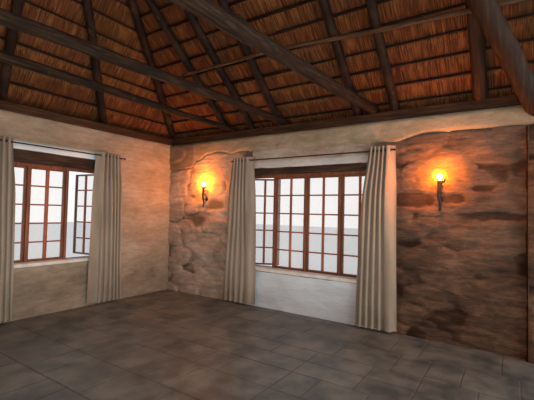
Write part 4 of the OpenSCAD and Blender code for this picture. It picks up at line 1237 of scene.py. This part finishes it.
# Stage, camera and light
GROUND_EDGES, GROUND_Z = (-40.0, 40.0, -40.0, 40.0), -0.002
ground = bpy.data.meshes.new("ground")
ground.from_pydata(corners(*GROUND_EDGES, GROUND_Z), [], [(0, 1, 2, 3)])
ground_obj = bpy.data.objects.new("ground", ground)
scene.collection.objects.link(ground_obj)
pale_floor = Mat("pale_floor", 0.9, 0.0)
pale_floor.colour(pale_floor.ramp(pale_floor.noise(0.4, 2), (0.0, 0.86), (1.0, 0.9)))
ground.materials.append(pale_floor.mat)

# The camera is solved from the photo, whose frame is 534 pixels wide
LENS_PX, FRAME_PX = 370.0, 534.0
YAW, TILT, ROLL = math.radians(33.70), math.radians(1.95), math.radians(1.30)
CAMERA_PLACE = (2.827, -1.603, 1.600)
cam_data = bpy.data.cameras.new("camera")
cam_data.sensor_width = 36.0
cam_data.lens = LENS_PX / FRAME_PX * cam_data.sensor_width
cam_data.clip_start, cam_data.clip_end = 0.02, 200.0
cam = bpy.data.objects.new("camera", cam_data)
scene.collection.objects.link(cam)
ahead = Vector((-math.sin(YAW) * math.cos(TILT), math.cos(YAW) * math.cos(TILT), math.sin(TILT)))
level = Vector((math.cos(YAW), math.sin(YAW), 0.0))
rise = level.cross(ahead)
right = level * math.cos(ROLL) + rise * math.sin(ROLL)
up = -level * math.sin(ROLL) + rise * math.cos(ROLL)
turn = Matrix((right, up, -ahead)).transposed().to_4x4()
cam.matrix_world = Matrix.Translation(CAMERA_PLACE) @ turn
scene.camera = cam


def light(name, kind, place, power, colour):
    data = bpy.data.lights.new(name, kind)
    data.energy, data.color = power, colour
    obj = bpy.data.objects.new(name, data)
    scene.collection.objects.link(obj)
    obj.location = place
    obj.visible_camera = obj.visible_glossy = False
    return obj


def area_light(name, place, target, size, power, colour=(1, 1, 1), spread=180):
    obj = light(name, "AREA", place, power, colour)
    obj.data.spread = math.radians(spread)
    obj.data.shape, obj.data.size, obj.data.size_y = "RECTANGLE", *size
    obj.rotation_euler = (Vector(target) - Vector(place)).to_track_quat("-Z", "Y").to_euler()


area_light("open_end_light", (8.5, -1.0, 4.0), (-2.0, 0.5, 1.6), (7.0, 5.0), 200.0, spread=110)
area_light("floor_bounce", (0.6, 0.0, 0.25), (0.6, 0.0, 4.0), (4.5, 5.5), 70.0, (1.0, 0.95, 0.88))
area_light("room_fill", (2.6, -1.8, 2.1), (-1.5, 2.5, 1.6), (1.6, 1.2), 60.0, (1.0, 0.96, 0.9))
# Soft part of each lamp's glow, just off the wall and above the lamp
GLOW_OUT, GLOW_UP, GLOW_POWER = 0.27, 0.12, 34.0
for sign, side in SIDES:
    for k, x in enumerate(LAMP_X):
        place = (X_IN + x, sign * (Y_IN - GLOW_OUT), LAMP_TOP + GLOW_UP)
        glow = light("glow_%d_%d" % (sign, k), "POINT", place, GLOW_POWER, GLOW)
        glow.data.shadow_soft_size = 0.06

# White for the camera, glass and metal, and a soft sky for the rest
world = bpy.data.worlds.new("world")
scene.world = world
world.use_nodes = True
sky, links = world.node_tree.nodes, world.node_tree.links
sky.clear()
path = sky.new("ShaderNodeLightPath")
seen = path.outputs["Is Camera Ray"]
for ray in ("Is Glossy Ray", "Is Transmission Ray"):
    either = sky.new("ShaderNodeMath")
    either.operation = "MAXIMUM"
    links.new(seen, either.inputs[0])
    links.new(path.outputs[ray], either.inputs[1])
    seen = either.outputs[0]
blend = sky.new("ShaderNodeMixShader")
links.new(seen, blend.inputs["Fac"])
for socket, colour, strength in ((1, (0.95, 0.97, 1.0, 1), 0.75), (2, (1, 1, 1, 1), 1.0)):
    background = sky.new("ShaderNodeBackground")
    background.inputs["Color"].default_value = colour
    background.inputs["Strength"].default_value = strength
    links.new(background.outputs[0], blend.inputs[socket])
links.new(blend.outputs[0], sky.new("ShaderNodeOutputWorld").inputs["Surface"])
scene.view_settings.view_transform = "Standard"
